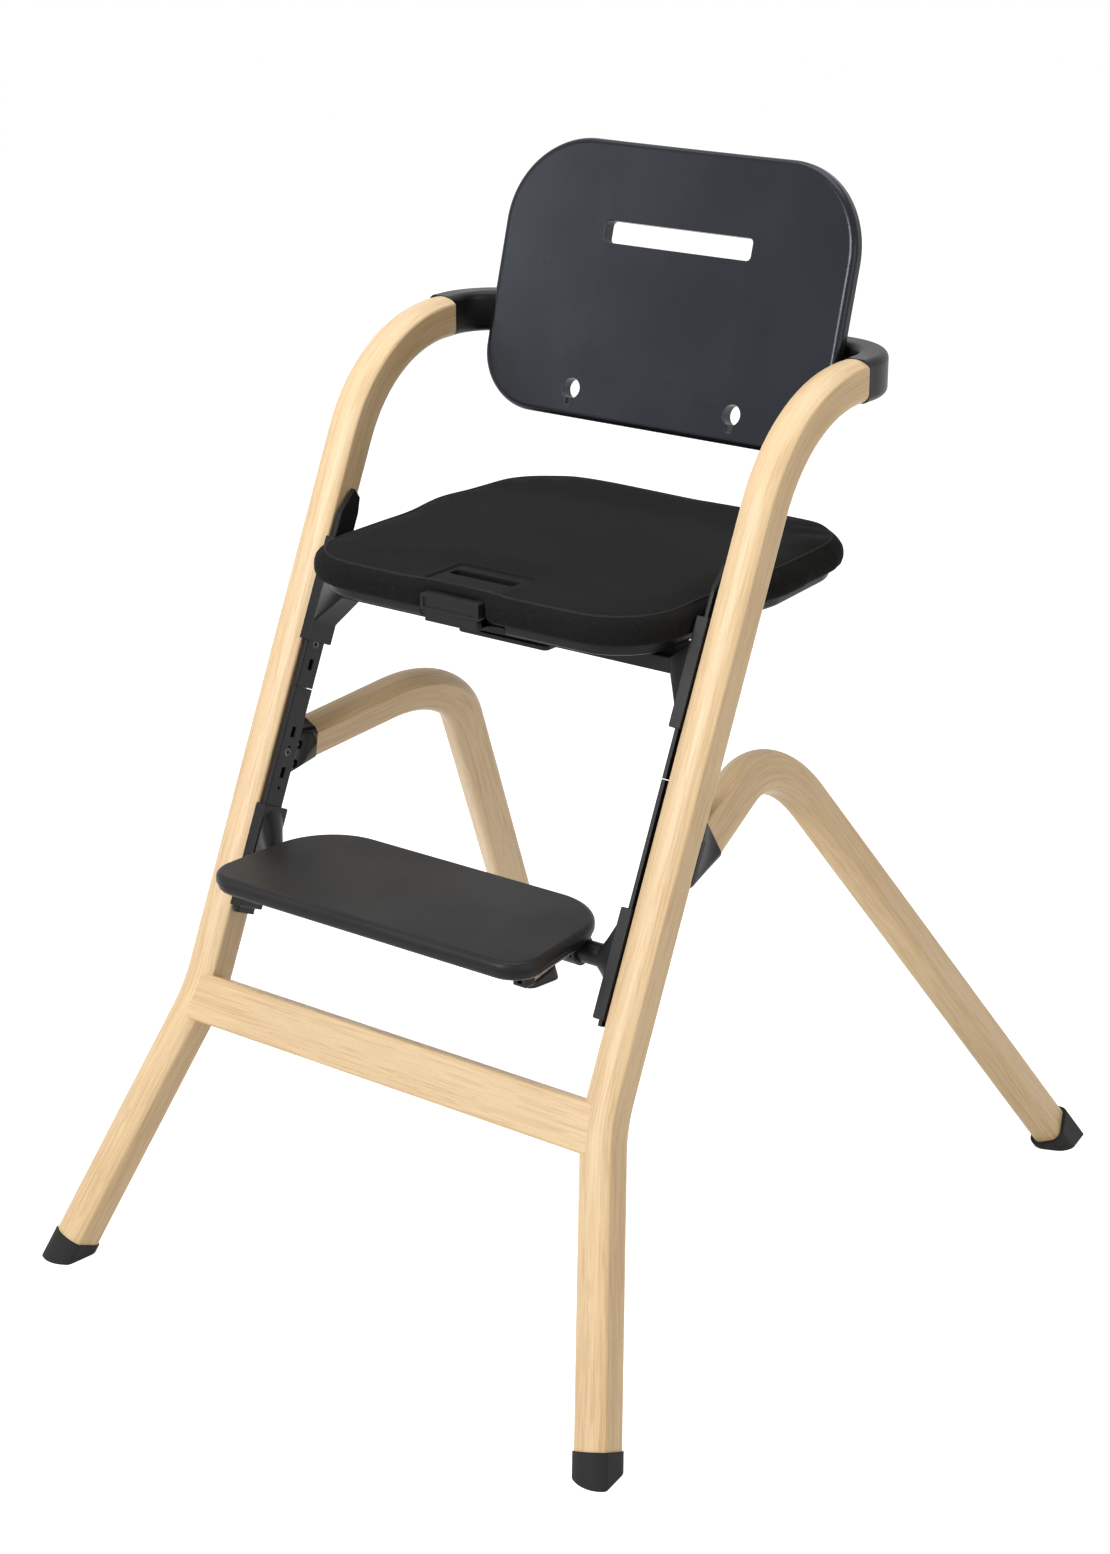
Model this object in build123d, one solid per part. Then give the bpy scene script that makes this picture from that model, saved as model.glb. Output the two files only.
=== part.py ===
from build123d import *
from math import cos, radians, sin, tan
import os

os.makedirs("parts", exist_ok=True)

# The high chair stands on Z = 0 and faces -Y.  X = 0 is its mid-plane, and Y = 0 lies
# midway between the front and the rear feet.  "right" is the +X side.  All sizes in mm.

# ---- Frame -----------------------------------------------------------------------------
FRAME_HALF = 200.0          # mid-plane to the centreline of an upright
FRAME_RAKE = 25.0           # uprights lean back from vertical, degrees
KNEE_HEIGHT = 220.0         # where the front legs start to splay
KNEE_RADIUS = 150.0
FRONT_FOOT_OUT = 70.0        # foot of a front leg outside its upright, at the floor
FEET_APART = 672.0          # front to rear leg centrelines at the floor
ARM_HEIGHT = 721.0          # centreline of the level arms and of the back hoop
ARM_BEND_RADIUS = 130.0
ARM_STRAIGHT = 4.0          # level wood past the arm's bend

# ---- Wood sections and the rear legs ---------------------------------------------------
UPRIGHT_WIDTH = 28.0
UPRIGHT_DEPTH = 33.0
REAR_LEG_WIDTH = 25.0
REAR_LEG_DEPTH = 35.0
WOOD_CROWN = 5.0            # rise of the rounded show face
WOOD_CORNER = 8.0           # round corners at the back
WOOD_RIDGE = 3.0            # softened edges of the show face
REAR_FOOT_OUT = 91.0         # rear foot, joint and crown, across from the upright
REAR_JOINT_HEIGHT = 395.0
REAR_JOINT_OUT = 6.5
REAR_CROWN_IN = 40.0
REAR_CROWN_Y = 40.0
REAR_CROWN_HEIGHT = 431.0
REAR_BEND_RADIUS = 95.0
REAR_LEG_START = 50.0       # wood of the rear leg starts this far behind the upright's centre
SOCKET_CORNER = 6.0
SOCKET_HOLLOW = 16.0        # radius of the finger-like hollow in the socket's inner side
SOCKET_HOLLOW_IN = 27.0
SOCKET_HOLLOW_BACK = 9.0
TONGUE_COVER = 7.0          # wood left around the socket's tongue
TONGUE_LENGTH = 46.0

# ---- Crossbar between the knees --------------------------------------------------------
CROSSBAR_HEIGHT = 39.0
CROSSBAR_DEPTH = 20.0
CROSSBAR_SETBACK = 0.5
CROSSBAR_DROP = 4.3         # centre of the crossbar below the knees, along the rake
CROSSBAR_EDGE = 3.0
DOWEL_RADIUS = 4.0
DOWEL_LENGTH = 36.0
DOWEL_SPACING = 20.0

# ---- Back hoop -------------------------------------------------------------------------
HOOP_WIDTH = 24.0
HOOP_HEIGHT = 34.0
HOOP_EDGE = 6.0             # rounding along the hoop
HOOP_CORNER = 46.0
HOOP_REACH = 58.0           # arm end to the hoop's rear centreline
HOOP_TENON = 22.0
HOOP_TENON_WIDTH = 14.0
HOOP_TENON_HEIGHT = 20.0

# ---- Foot caps -------------------------------------------------------------------------
CAP_FLOOR = 4.0             # rubber under the wood
FRONT_CAP_RIM = 15.0        # height of the cap's rim on the leg's centreline
REAR_CAP_RIM = 17.0
FRONT_CAP_WALL = 1.2
REAR_CAP_WALL = 3.5
CAP_PLUG_LENGTH = 34.0
CAP_PLUG_RADIUS = 6.0

# ---- Backrest --------------------------------------------------------------------------
BACK_RAKE = 16.0
BACK_WIDTH = 338.0
BACK_CURVE = 1690.0         # radius of the backrest's front face, bent towards the child
BACK_TOP = 203.5            # above the keyholes
BACK_BOTTOM = 23.8          # below the keyholes
BACK_TOP_RADIUS = 74.0
BACK_BOTTOM_RADIUS = 50.0
BACK_THICKNESS = 12.0
BACK_FRONT_SHELL = 7.0
BACK_FRONT_EDGE = 5.0
BACK_REAR_EDGE = 2.0
BACK_SCREW_BITE = 9.0       # screw length inside the backrest
KEYHOLES_BELOW = 48.0        # keyholes below the hoop's centreline, and their front face
KEYHOLES_AHEAD = 28.0        # ahead of the hoop's front face
KEYHOLE_HALF = 79.0
KEYHOLE_RADIUS = 8.5
KEYHOLE_SLOT = 6.5
KEYHOLE_DROP = 12.0         # length of the slot below the round entry
GRIP_SLOT_WIDTH = 143.0
GRIP_SLOT_HEIGHT = 18.0
GRIP_SLOT_UP = 130.0        # grip slot above the keyholes
BACK_MOUNT_HALF = 92.0
BACK_MOUNT_WIDTH = 44.0

# ---- Guide rails on the uprights, measured along the rake from the knee ----------------
RAIL_STEM = 3.0
RAIL_FLANGE = 4.0
RAIL_WIDTH = 22.0
RAIL_STEM_WIDTH = 14.0
RAIL_BOTTOM = 70.0
RAIL_SPLIT = 259.0          # where the lower rail meets the upper
RAIL_TOP = 425.0
RAIL_TIP = 22.0             # length of the pointed top
RAIL_NIB = 5.0              # front slope of the pointed top
RAIL_CHAMFER = 1.0
RAIL_SCREW_BITE = 14.0      # screw length in the wood
SLOT_PITCH = 34.0
SLOT_LENGTH = 9.0
SLOT_WIDTH = 5.0
SLOT_CORNER = 1.0
PEEP_RADIUS = 1.5
PEEP_AT = 13.0              # dimple below each slot

# ---- Carriers that ride on the rails ---------------------------------------------------
FIT = 0.3                   # running clearance
CARRIER_WIDTH = 29.0
CARRIER_WALL = 3.0
CARRIER_CORNER = 1.5
SEAT_CARRIER_BOTTOM = 297.5
SEAT_CARRIER_TOP = 382.5
FLARE_LIFT = -2.0           # flare's centre above the carrier's, along the rake
FLARE_HEIGHT = 50.0         # where the flare meets the slider
FOOT_CARRIER_BOTTOM = 75.0
FOOT_CARRIER_TOP = 160.0
FOOT_FLARE_REACH = 12.0
FOOT_FLARE_HEIGHT = 58.0
FOOT_FLARE_LIFT = 8.0

# ---- Latches and springs ---------------------------------------------------------------
SEAT_LATCH_AT = 346.3
FOOT_LATCH_AT = 120.0
LATCH_TRAVEL = 4.5
LATCH_BEVEL = 0.8           # bevel round a tongue's tip
PEG_RADIUS = 1.75
PEG_IN = 18.0                # latch peg, in from the beam's end
PEG_SETBACK = 9.0            # peg behind the release bar's front edge
FINGER_HEEL = 12.0           # latch tail inside the finger tab
FINGER_IN = 26.6             # finger tab inside the footrest's end
FINGER_SETBACK = 36.2        # finger tab behind the footrest's front edge
FINGER_DROP = 16.2           # finger tab below the tray
SPRING_WIDTH = 6.0
SPRING_THICKNESS = 0.8
SPRING_FOOT = 4.0           # length of a spring's turned-up foot
SPRING_BOW = 5.0            # how far a spring bows
FOOT_SPRING_ROOM = 30.0      # from the tail to the end of the shaft's blind bore

# ---- Cross beam, release bar and support arms ------------------------------------------
BEAM_RISE = 7.15             # beam's top above the latch tongue's centre
BEAM_HEIGHT = 13.5
BEAM_AHEAD = 10.0            # beam's front face ahead of the latch tongue's centre
BEAM_LIP = 11.0             # top plate that carries the depth slots, in front of the beam
LIP_HALF = 22.0             # half width of the beam's lip
BEAM_DEPTH = 43.0
FLARE_REACH = 15.7           # from the beam's end out to the carrier's face
BEAM_WALL = 2.0
BEAM_EDGE = 2.5
RIB_HALF = 40.0             # inner ribs of the beam
RIB_DEPTH = 15.0             # and their reach behind the beam's front face
BAR_SETBACK = 18.0           # release bar behind the beam's front face
BAR_DEPTH = 14.0
BAR_THICKNESS = 3.0
RELEASE_GRIP_HALF = 44.0
GRIP_DROP = 6.5              # finger grip below the beam
ARM_HALF = 92.0             # support arms under the seat
ARM_FLANGE_WIDTH = 24.0
ARM_FLANGE = 4.0
ARM_WEB = 8.0
ARM_RISE = 5.0               # support arms stand this much above the beam
ARM_LENGTH = 209.0
ARM_TIP_DEPTH = 12.0        # depth of a support arm at its rear end
STRETCHER_WIDTH = 14.0

# ---- Seat ------------------------------------------------------------------------------
SEAT_OVERHANG = 58.0         # seat ahead of the beam
SEAT_LENGTH = 331.0
SEAT_FRONT_FLARE = 3.5       # how much wider the seat is at its front corners
SEAT_CLEARANCE = 3.2         # between the seat's waist and a carrier
SEAT_WAIST = (71.0, 153.0)   # stretch between the carriers, behind the seat's front edge
SEAT_REAR_FLARE = 5.5        # and where it is widest, behind the uprights
SEAT_WIDEST_AT = 195.0
SEAT_BACK_TAPER = 4.5        # how much narrower it is at the very back
SEAT_FRONT_RADIUS = 62.0
SEAT_BACK_RADIUS = 65.0
SEAT_SIDE_RADIUS = 60.0     # where the seat is widest
SHELL_THICKNESS = 8.4
SHELL_INSET = 12.0
SHELL_EDGE = 3.0
PAD_THICKNESS = 23.0
PAD_TOP_EDGE = 11.0
PAD_BOTTOM_EDGE = 5.0
STRAP_SLOT_AT = 40.0         # strap slot behind the seat's front edge
STRAP_SLOT_WIDTH = 61.0
STRAP_SLOT_DEPTH = 11.0
BEZEL_WALL = 1.5
BEZEL_HALF = 36.0
BEZEL_AT = 12.0              # strap guide's plate behind the seat's front edge
BEZEL_DEPTH = 45.0
BEZEL_CORNER = 5.0
BEZEL_SINK = 0.6            # plate below the pad's top
BEZEL_PLATE = 2.0

# ---- Seat depth trigger ----------------------------------------------------------------
SEAT_TRAVEL = 40.0          # seat depth range
DEPTH_STEP = 20.0           # pitch of the depth slots
DEPTH_LATCH_IN = 7.5         # depth bolt ahead of the beam's back, with the seat at the back
DEPTH_TRAVEL = 3.0          # lift of the depth bolt
DEPTH_BOLT = 4.0            # thickness of the depth bolt
BOLT_HALF = 9.0             # half width of the depth bolt
STRIP_HALF = 40.0           # flat strip behind the paddle
PADDLE_HALF = 28.0          # trigger paddle
PADDLE_DEPTH = 8.0          # paddle, front to back inside the pad
PADDLE_HEIGHT = 17.0

# ---- Footrest --------------------------------------------------------------------------
FOOTREST_RISE = 20.44        # tread above the shaft's centre
FOOTREST_THICKNESS = 15.0
FOOTREST_COVER = 8.0
FOOTREST_GAP = 17.1          # from the footrest's end to a carrier's face
FOOTREST_TAPER = 11.6        # how much narrower it is at the back
FOOTREST_AHEAD = 93.5        # front and back edges from the shaft's centre
FOOTREST_BEHIND = 42.7
FOOTREST_FRONT_RADIUS = 26.0
FOOTREST_BACK_RADIUS = 57.0
FOOTREST_EDGE = 5.0
TRAY_INSET = 1.5            # tray inside the tread's outline
TRAY_RIB_PITCH = 60.0
FOOTREST_SCREW_X = 100.0
SHAFT_RADIUS = 9.0
SHAFT_BORE = 7.0
SHAFT_INSET = 2.0           # shaft let into each carrier
KEEL_WALL = 3.0             # sleeve round the shaft
KEEL_IN = 14.6               # end of the shaft's sleeve inside the footrest's end

# ---- Screws: shank radius, head radius, head height, countersunk -----------------------
WOOD_SCREW = (1.75, 3.6, 2.2, True)
BACK_SCREW = (2.0, 4.5, 3.0, True)
BOLT_SIZE = (2.0, 4.0, 2.5, False)
HOOP_SCREW = (2.5, 5.0, 3.0, False)
PLASTIC_SCREW = (1.5, 3.0, 1.8, False)

# ---- Derived places ---------------------------------------------------------------------
SIN, COS = sin(radians(FRAME_RAKE)), cos(radians(FRAME_RAKE))
KNEE_Y = -FEET_APART / 2 + KNEE_HEIGHT * tan(radians(FRAME_RAKE))
INNER_FACE = FRAME_HALF - UPRIGHT_WIDTH / 2
RAIL_FACE = INNER_FACE - RAIL_STEM - RAIL_FLANGE
CARRIER_FACE = RAIL_FACE - FIT - CARRIER_WALL
PARTS = {}

# Raked frame: X across, Y up along an upright from its knee, Z forward out of the rake.
rake = Plane(origin=(0, KNEE_Y, KNEE_HEIGHT), x_dir=(1, 0, 0), z_dir=(0, -COS, SIN))


def raked_y(along, forward=0.0):
    """World Y of a point given along the rake and forward of it."""
    return KNEE_Y + along * SIN - forward * COS


def raked_z(along, forward=0.0):
    """World Z of a point given along the rake and forward of it."""
    return KNEE_HEIGHT + along * COS + forward * SIN


# Places across the chair, which follow the uprights.
front_foot_half = FRAME_HALF + FRONT_FOOT_OUT
rear_foot_half = FRAME_HALF + REAR_FOOT_OUT
rear_joint_half = FRAME_HALF + REAR_JOINT_OUT
rear_crown_half = FRAME_HALF - REAR_CROWN_IN
socket_hollow_x = FRAME_HALF - SOCKET_HOLLOW_IN
beam_half = CARRIER_FACE - FLARE_REACH
peg_x = beam_half - PEG_IN
seat_half = CARRIER_FACE - SEAT_CLEARANCE
seat_front_half = seat_half + SEAT_FRONT_FLARE
seat_rear_half = seat_half + SEAT_REAR_FLARE
seat_back_half = seat_half - SEAT_BACK_TAPER
footrest_half = CARRIER_FACE - FOOTREST_GAP
footrest_back_half = footrest_half - FOOTREST_TAPER
keel_end = footrest_half - KEEL_IN
finger_x = footrest_half - FINGER_IN
foot_latch_tail = finger_x - FINGER_HEEL
foot_spring_wall = foot_latch_tail - FOOT_SPRING_ROOM
latch_tip = RAIL_FACE - FIT

# The seat hangs from its latches, and the footrest from its own.
seat_latch_y, seat_latch_z = raked_y(SEAT_LATCH_AT), raked_z(SEAT_LATCH_AT)
foot_latch_y, foot_latch_z = raked_y(FOOT_LATCH_AT), raked_z(FOOT_LATCH_AT)
beam_top = seat_latch_z + BEAM_RISE
beam_bottom = beam_top - BEAM_HEIGHT
beam_front = seat_latch_y - BEAM_AHEAD
beam_back = beam_front + BEAM_DEPTH
rib_back = beam_front + RIB_DEPTH
bar_front = beam_front + BAR_SETBACK
bar_back = bar_front + BAR_DEPTH
peg_y = bar_front + PEG_SETBACK
grip_bottom = beam_bottom - GRIP_DROP
arm_top = beam_top + ARM_RISE
arm_back = beam_front + ARM_LENGTH
depth_latch_y = beam_back - DEPTH_LATCH_IN
seat_front = beam_front - SEAT_OVERHANG
seat_back = seat_front + SEAT_LENGTH
seat_widest_y = seat_front + SEAT_WIDEST_AT
strap_slot_y = seat_front + STRAP_SLOT_AT
bezel_front = seat_front + BEZEL_AT
bezel_back = bezel_front + BEZEL_DEPTH
footrest_top = foot_latch_z + FOOTREST_RISE
footrest_front = foot_latch_y - FOOTREST_AHEAD
footrest_back = foot_latch_y + FOOTREST_BEHIND
finger_y = footrest_front + FINGER_SETBACK
finger_low = footrest_top - FOOTREST_THICKNESS - FINGER_DROP


def box(x0, x1, y0, y1, z0, z1):
    """Box between two corners."""
    centre = Pos((x0 + x1) / 2, (y0 + y1) / 2, (z0 + z1) / 2)
    return centre * Box(abs(x1 - x0), abs(y1 - y0), abs(z1 - z0))


def both(shape):
    """A shape and its mirror image across the mid-plane."""
    return shape + mirror(shape, about=Plane.YZ)


def keep_pair(name, shape):
    """Store the right-hand piece and its left-hand mirror image."""
    PARTS[name + "_right"] = shape
    PARTS[name + "_left"] = mirror(shape, about=Plane.YZ)


def rod(start, end, radius):
    """Round rod between two points."""
    a, b = Vector(*start), Vector(*end)
    return extrude(Plane(origin=a, z_dir=b - a) * Circle(radius), (b - a).length)


def screw_form(tip, head_side, size):
    """Outer form of a screw, from its tip to the outside of its head."""
    shank_radius, head_radius, head_height, sunk = size
    a, b = Vector(*tip), Vector(*head_side)
    axis = (b - a).normalized()
    neck = b - axis * head_height
    shank = extrude(Plane(origin=a, z_dir=axis) * Circle(shank_radius), (neck - a).length)
    seat = Plane(origin=neck, z_dir=axis)
    if sunk:
        return shank + Solid.make_cone(shank_radius, head_radius, head_height, plane=seat)
    return shank + extrude(seat * Circle(head_radius), head_height)


def screws(places, size):
    """Screws with a hexagonal recess in each head."""
    made = []
    for tip, head_side in places:
        b = Vector(*head_side)
        outside = Plane(origin=b, z_dir=b - Vector(*tip))
        recess = extrude(outside * RegularPolygon(size[1] * 0.45, 6), -size[2] * 0.6)
        made.append(screw_form(tip, head_side, size) - recess)
    return Compound(children=made)


def bored(shape, places, size):
    """A shape with the holes that a group of screws needs."""
    for tip, head_side in places:
        shape -= screw_form(tip, head_side, size)
    return shape


def mirrored(places):
    """The same places on the other side of the mid-plane."""
    return [tuple((-x, y, z) for x, y, z in pair) for pair in places]


def in_rake(places):
    """Turn places given as (x, along, forward) into world places."""
    return [tuple((x, raked_y(along, forward), raked_z(along, forward)) for x, along, forward in pair)
            for pair in places]


# ---- Wood -------------------------------------------------------------------------------
def stock(width, depth):
    """Section of the wood: flat sides, a crowned face towards +Y, rounded back corners."""
    w, d = width / 2, depth / 2
    sides = Polyline((-w, d - WOOD_CROWN), (-w, -d), (w, -d), (w, d - WOOD_CROWN))
    crown = ThreePointArc((w, d - WOOD_CROWN), (0, d), (-w, d - WOOD_CROWN))
    face = make_face(sides + crown)
    face = fillet(face.vertices().group_by(Axis.Y)[0], WOOD_CORNER)
    return fillet(face.vertices().group_by(Axis.Y)[-1], WOOD_RIDGE)


def bend(path, crown_side, section):
    """Sweep a wood section along a path, its crowned face turned to crown_side."""
    tangent = path % 0
    across = Vector(*crown_side).cross(tangent)
    return sweep(Plane(origin=path @ 0, x_dir=across, z_dir=tangent) * section, path=path)


upright_section = stock(UPRIGHT_WIDTH, UPRIGHT_DEPTH)
foot_along = -KNEE_HEIGHT / COS
arm_corner = (ARM_HEIGHT - KNEE_HEIGHT) / COS
arm_tangent = ARM_BEND_RADIUS * tan(radians((90 - FRAME_RAKE) / 2))
arm_end_y = raked_y(arm_corner) + arm_tangent + ARM_STRAIGHT


front_foot = Vector(front_foot_half, -FEET_APART / 2, 0)
front_axis = (front_foot - Vector(FRAME_HALF, KNEE_Y, KNEE_HEIGHT)).normalized()


def front_leg():
    """Right front leg, upright and arm: bent once at the knee and once into the arm."""
    overrun = 1.15
    foot = (FRAME_HALF + (front_foot_half - FRAME_HALF) * overrun, foot_along * overrun)
    join = KNEE_RADIUS / 2
    lower = FilletPolyline(foot, (FRAME_HALF, 0), (FRAME_HALF, join), radius=KNEE_RADIUS)
    leg = rake * bend(lower, (0, 0, 1), upright_section)
    side = Plane(origin=(FRAME_HALF, 0, 0), x_dir=(0, 1, 0), z_dir=(1, 0, 0))
    upper = side * FilletPolyline(
        (raked_y(join), raked_z(join)),
        (raked_y(arm_corner), ARM_HEIGHT),
        (arm_end_y, ARM_HEIGHT),
        radius=ARM_BEND_RADIUS,
    )
    leg += bend(upper, (0, -COS, SIN), upright_section)
    return leg - box(0, 400, -600, 0, -100, CAP_FLOOR)


rear_joint = (REAR_JOINT_HEIGHT - KNEE_HEIGHT) / COS
rear_start = Vector(rear_joint_half, raked_y(rear_joint), REAR_JOINT_HEIGHT)
rear_corner = Vector(rear_crown_half, REAR_CROWN_Y, REAR_CROWN_HEIGHT)
rear_foot = Vector(rear_foot_half, FEET_APART / 2, 0)
rear_upper = (rear_corner - rear_start).normalized()
rear_lower = (rear_foot - rear_corner).normalized()
rear_normal = rear_lower.cross(rear_upper).normalized()
rear_plane = Plane(origin=rear_corner, x_dir=rear_upper, z_dir=rear_normal)
rear_up = rear_normal.cross(rear_upper)
rear_section = stock(REAR_LEG_WIDTH, REAR_LEG_DEPTH)

# Back face of the upright, and the plane on which the rear leg's end is cut.
upright_back = Plane(
    origin=(FRAME_HALF, raked_y(0, -UPRIGHT_DEPTH / 2), raked_z(0, -UPRIGHT_DEPTH / 2)),
    x_dir=(1, 0, 0),
    z_dir=(0, COS, -SIN),
)
leg_end = Plane(
    origin=rear_start + rear_upper * REAR_LEG_START,
    x_dir=rear_up.cross(rear_upper),
    z_dir=rear_upper,
)


def beyond(plane, size=2000.0):
    """Half-space on the normal's side of a plane, as a large box."""
    return extrude(plane * Rectangle(size, size), size)


def socket_tongue():
    """Tongue of the socket, let into the rear leg's end along its grain."""
    size = (REAR_LEG_WIDTH - 2 * TONGUE_COVER, REAR_LEG_DEPTH - 2 * TONGUE_COVER)
    return extrude(leg_end.offset(-2) * RectangleRounded(*size, 3), TONGUE_LENGTH + 2)


def rear_leg():
    """Right rear leg: rises from the upright, bends over and splays down to the floor."""
    overrun = rear_foot + rear_lower * 40
    local = [rear_plane.to_local_coords(p) for p in (rear_start, rear_corner, overrun)]
    path = rear_plane * FilletPolyline(*[(p.X, p.Y) for p in local], radius=REAR_BEND_RADIUS)
    leg = bend(path, tuple(rear_up), rear_section)
    leg -= box(0, 500, 0, 900, -200, CAP_FLOOR)
    return (leg & beyond(leg_end)) - socket_tongue()


def socket_reach(above):
    """Height on the upright's back that a line along the rear leg, above its centre, meets."""
    facing = upright_back.z_dir
    run = (UPRIGHT_DEPTH / 2 - above * rear_up.dot(facing)) / rear_upper.dot(facing)
    met = rear_start + rear_upper * run + rear_up * above
    return (met.Z - KNEE_HEIGHT + UPRIGHT_DEPTH / 2 * SIN) / COS


def rear_leg_socket(upright):
    """Moulded socket between the upright's back and the rear leg, with its tongue."""
    top, foot = socket_reach(REAR_LEG_DEPTH / 2), socket_reach(-REAR_LEG_DEPTH / 2)
    middle = (top + foot) / 2
    seat = Plane(
        origin=(FRAME_HALF, raked_y(middle, -UPRIGHT_DEPTH / 2), raked_z(middle, -UPRIGHT_DEPTH / 2)),
        x_dir=(1, 0, 0),
        z_dir=upright_back.z_dir,
    )
    seat_face = RectangleRounded(UPRIGHT_WIDTH - 2 * FIT, top - foot, SOCKET_CORNER)
    end_face = RectangleRounded(REAR_LEG_WIDTH, REAR_LEG_DEPTH, SOCKET_CORNER)
    block = loft([seat * seat_face, leg_end * end_face], ruled=True)
    block += extrude(seat * seat_face, -WOOD_CORNER)
    hollow_forward = -UPRIGHT_DEPTH / 2 - SOCKET_HOLLOW_BACK
    hollow = Plane(origin=(socket_hollow_x, foot, hollow_forward), z_dir=(0, 1, 0))
    block -= rake * extrude(hollow * Circle(SOCKET_HOLLOW), top - foot)
    block += socket_tongue()
    return block - upright


def foot_cap(leg, centre, axis, across, section, wall, rim):
    """Rubber cap on a leg: follows the wood, cut off level with the floor."""
    start = Plane(origin=centre + axis * 60, x_dir=across, z_dir=axis * -1)
    outer = offset(section, wall)
    sleeve = extrude(start * outer, 120)
    rim_plane = Plane(origin=centre + axis * (rim / axis.Z), z_dir=axis * -1)
    sleeve -= beyond(rim_plane)
    sleeve -= box(0, 600, -600, 600, -200, 0)
    return sleeve - leg + cap_plug(centre, axis)


def front_cap(leg):
    """Right front foot cap."""
    across = Vector(0, -COS, SIN).cross(front_axis * -1)
    return foot_cap(leg, front_foot, front_axis, across, upright_section, FRONT_CAP_WALL, FRONT_CAP_RIM)


def rear_cap(leg):
    """Right rear foot cap."""
    outside = rear_normal.cross(rear_lower)
    across = outside.cross(rear_lower * -1)
    return foot_cap(leg, rear_foot, rear_lower, across, rear_section, REAR_CAP_WALL, REAR_CAP_RIM)


def crossbar(legs):
    """Board between the knees, flush with the front of the legs and cut to their sides."""
    front = UPRIGHT_DEPTH / 2 - CROSSBAR_SETBACK
    board = Box(2 * FRAME_HALF, CROSSBAR_HEIGHT, CROSSBAR_DEPTH)
    board = Pos(0, -CROSSBAR_DROP, front - CROSSBAR_DEPTH / 2) * board
    board = fillet(board.edges().filter_by(Axis.X), CROSSBAR_EDGE)
    bar = rake * board
    for one in legs:
        bar -= one
    return max(bar.solids(), key=lambda solid: solid.volume)


# ---- Back hoop and backrest -------------------------------------------------------------
hoop_rear_y = arm_end_y + HOOP_REACH
back_plane = Plane(
    origin=(0, hoop_rear_y - HOOP_WIDTH / 2 - KEYHOLES_AHEAD, ARM_HEIGHT - KEYHOLES_BELOW),
    x_dir=(1, 0, 0),
    z_dir=(0, -cos(radians(BACK_RAKE)), sin(radians(BACK_RAKE))),
)


def hoop_tenon():
    """Right tenon of the hoop, let into the arm's end."""
    half_w, half_h = HOOP_TENON_WIDTH / 2, HOOP_TENON_HEIGHT / 2
    return box(
        FRAME_HALF - half_w, FRAME_HALF + half_w,
        arm_end_y - HOOP_TENON, arm_end_y + 2,
        ARM_HEIGHT - half_h, ARM_HEIGHT + half_h,
    )


def back_hoop():
    """Moulded U-shaped hoop that carries the arms round behind the backrest."""
    level = Plane(origin=(0, 0, ARM_HEIGHT), x_dir=(1, 0, 0), z_dir=(0, 0, 1))
    half = FRAME_HALF + (UPRIGHT_WIDTH - HOOP_WIDTH) / 2
    path = level * FilletPolyline(
        (-half, arm_end_y), (-half, hoop_rear_y), (half, hoop_rear_y), (half, arm_end_y),
        radius=HOOP_CORNER,
    )
    section = RectangleRounded(HOOP_WIDTH, HOOP_HEIGHT, HOOP_EDGE)
    hoop = sweep(Plane(origin=path @ 0, x_dir=(1, 0, 0), z_dir=path % 0) * section, path=path)
    return hoop + both(hoop_tenon()) - back_plane * back_layer(0, BACK_THICKNESS)


def back_outline():
    """Outline of the backrest: wide radii above, smaller below."""
    height = BACK_TOP + BACK_BOTTOM
    face = Pos(0, (BACK_TOP - BACK_BOTTOM) / 2) * Rectangle(BACK_WIDTH, height)
    face = fillet(face.vertices().group_by(Axis.Y)[-1], BACK_TOP_RADIUS)
    return fillet(face.vertices().group_by(Axis.Y)[0], BACK_BOTTOM_RADIUS)


def keyhole():
    """Keyhole: a round entry over a narrow slot."""
    slot = Pos(0, -KEYHOLE_DROP / 2) * Rectangle(KEYHOLE_SLOT, KEYHOLE_DROP)
    return Circle(KEYHOLE_RADIUS) + slot + Pos(0, -KEYHOLE_DROP) * Circle(KEYHOLE_SLOT / 2)


def back_space(radius):
    """Space in front of a curved face of the backrest, of this radius about an axis in front."""
    reach = 3 * BACK_TOP
    top = Plane(origin=(0, reach / 2, BACK_CURVE), x_dir=(1, 0, 0), z_dir=(0, -1, 0))
    return extrude(top * Circle(radius), reach)


def back_layer(front_depth, rear_depth):
    """Layer of the curved backrest, between two depths behind its front face."""
    block = extrude(back_outline(), 4 * BACK_THICKNESS, both=True)
    return (block & back_space(BACK_CURVE + rear_depth)) - back_space(BACK_CURVE + front_depth)


def back_shells():
    """Front and rear shells of the backrest, each rounded on its outer edge."""
    cuts = Pos(0, GRIP_SLOT_UP) * RectangleRounded(GRIP_SLOT_WIDTH, GRIP_SLOT_HEIGHT, 4)
    for side in (-1, 1):
        cuts += Pos(side * KEYHOLE_HALF, 0) * keyhole()
    front = back_layer(0, BACK_FRONT_SHELL)
    front_rim = front.edges().filter_by(lambda edge: on_back(edge, 0))
    front = fillet(front_rim, BACK_FRONT_EDGE)
    rear = back_layer(BACK_FRONT_SHELL, BACK_THICKNESS)
    rear_rim = rear.edges().filter_by(lambda edge: on_back(edge, BACK_THICKNESS))
    rear = fillet(rear_rim, BACK_REAR_EDGE)
    through = extrude(cuts, 2 * BACK_THICKNESS, both=True)
    return back_plane * (front - through), back_plane * (rear - through)


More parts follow.
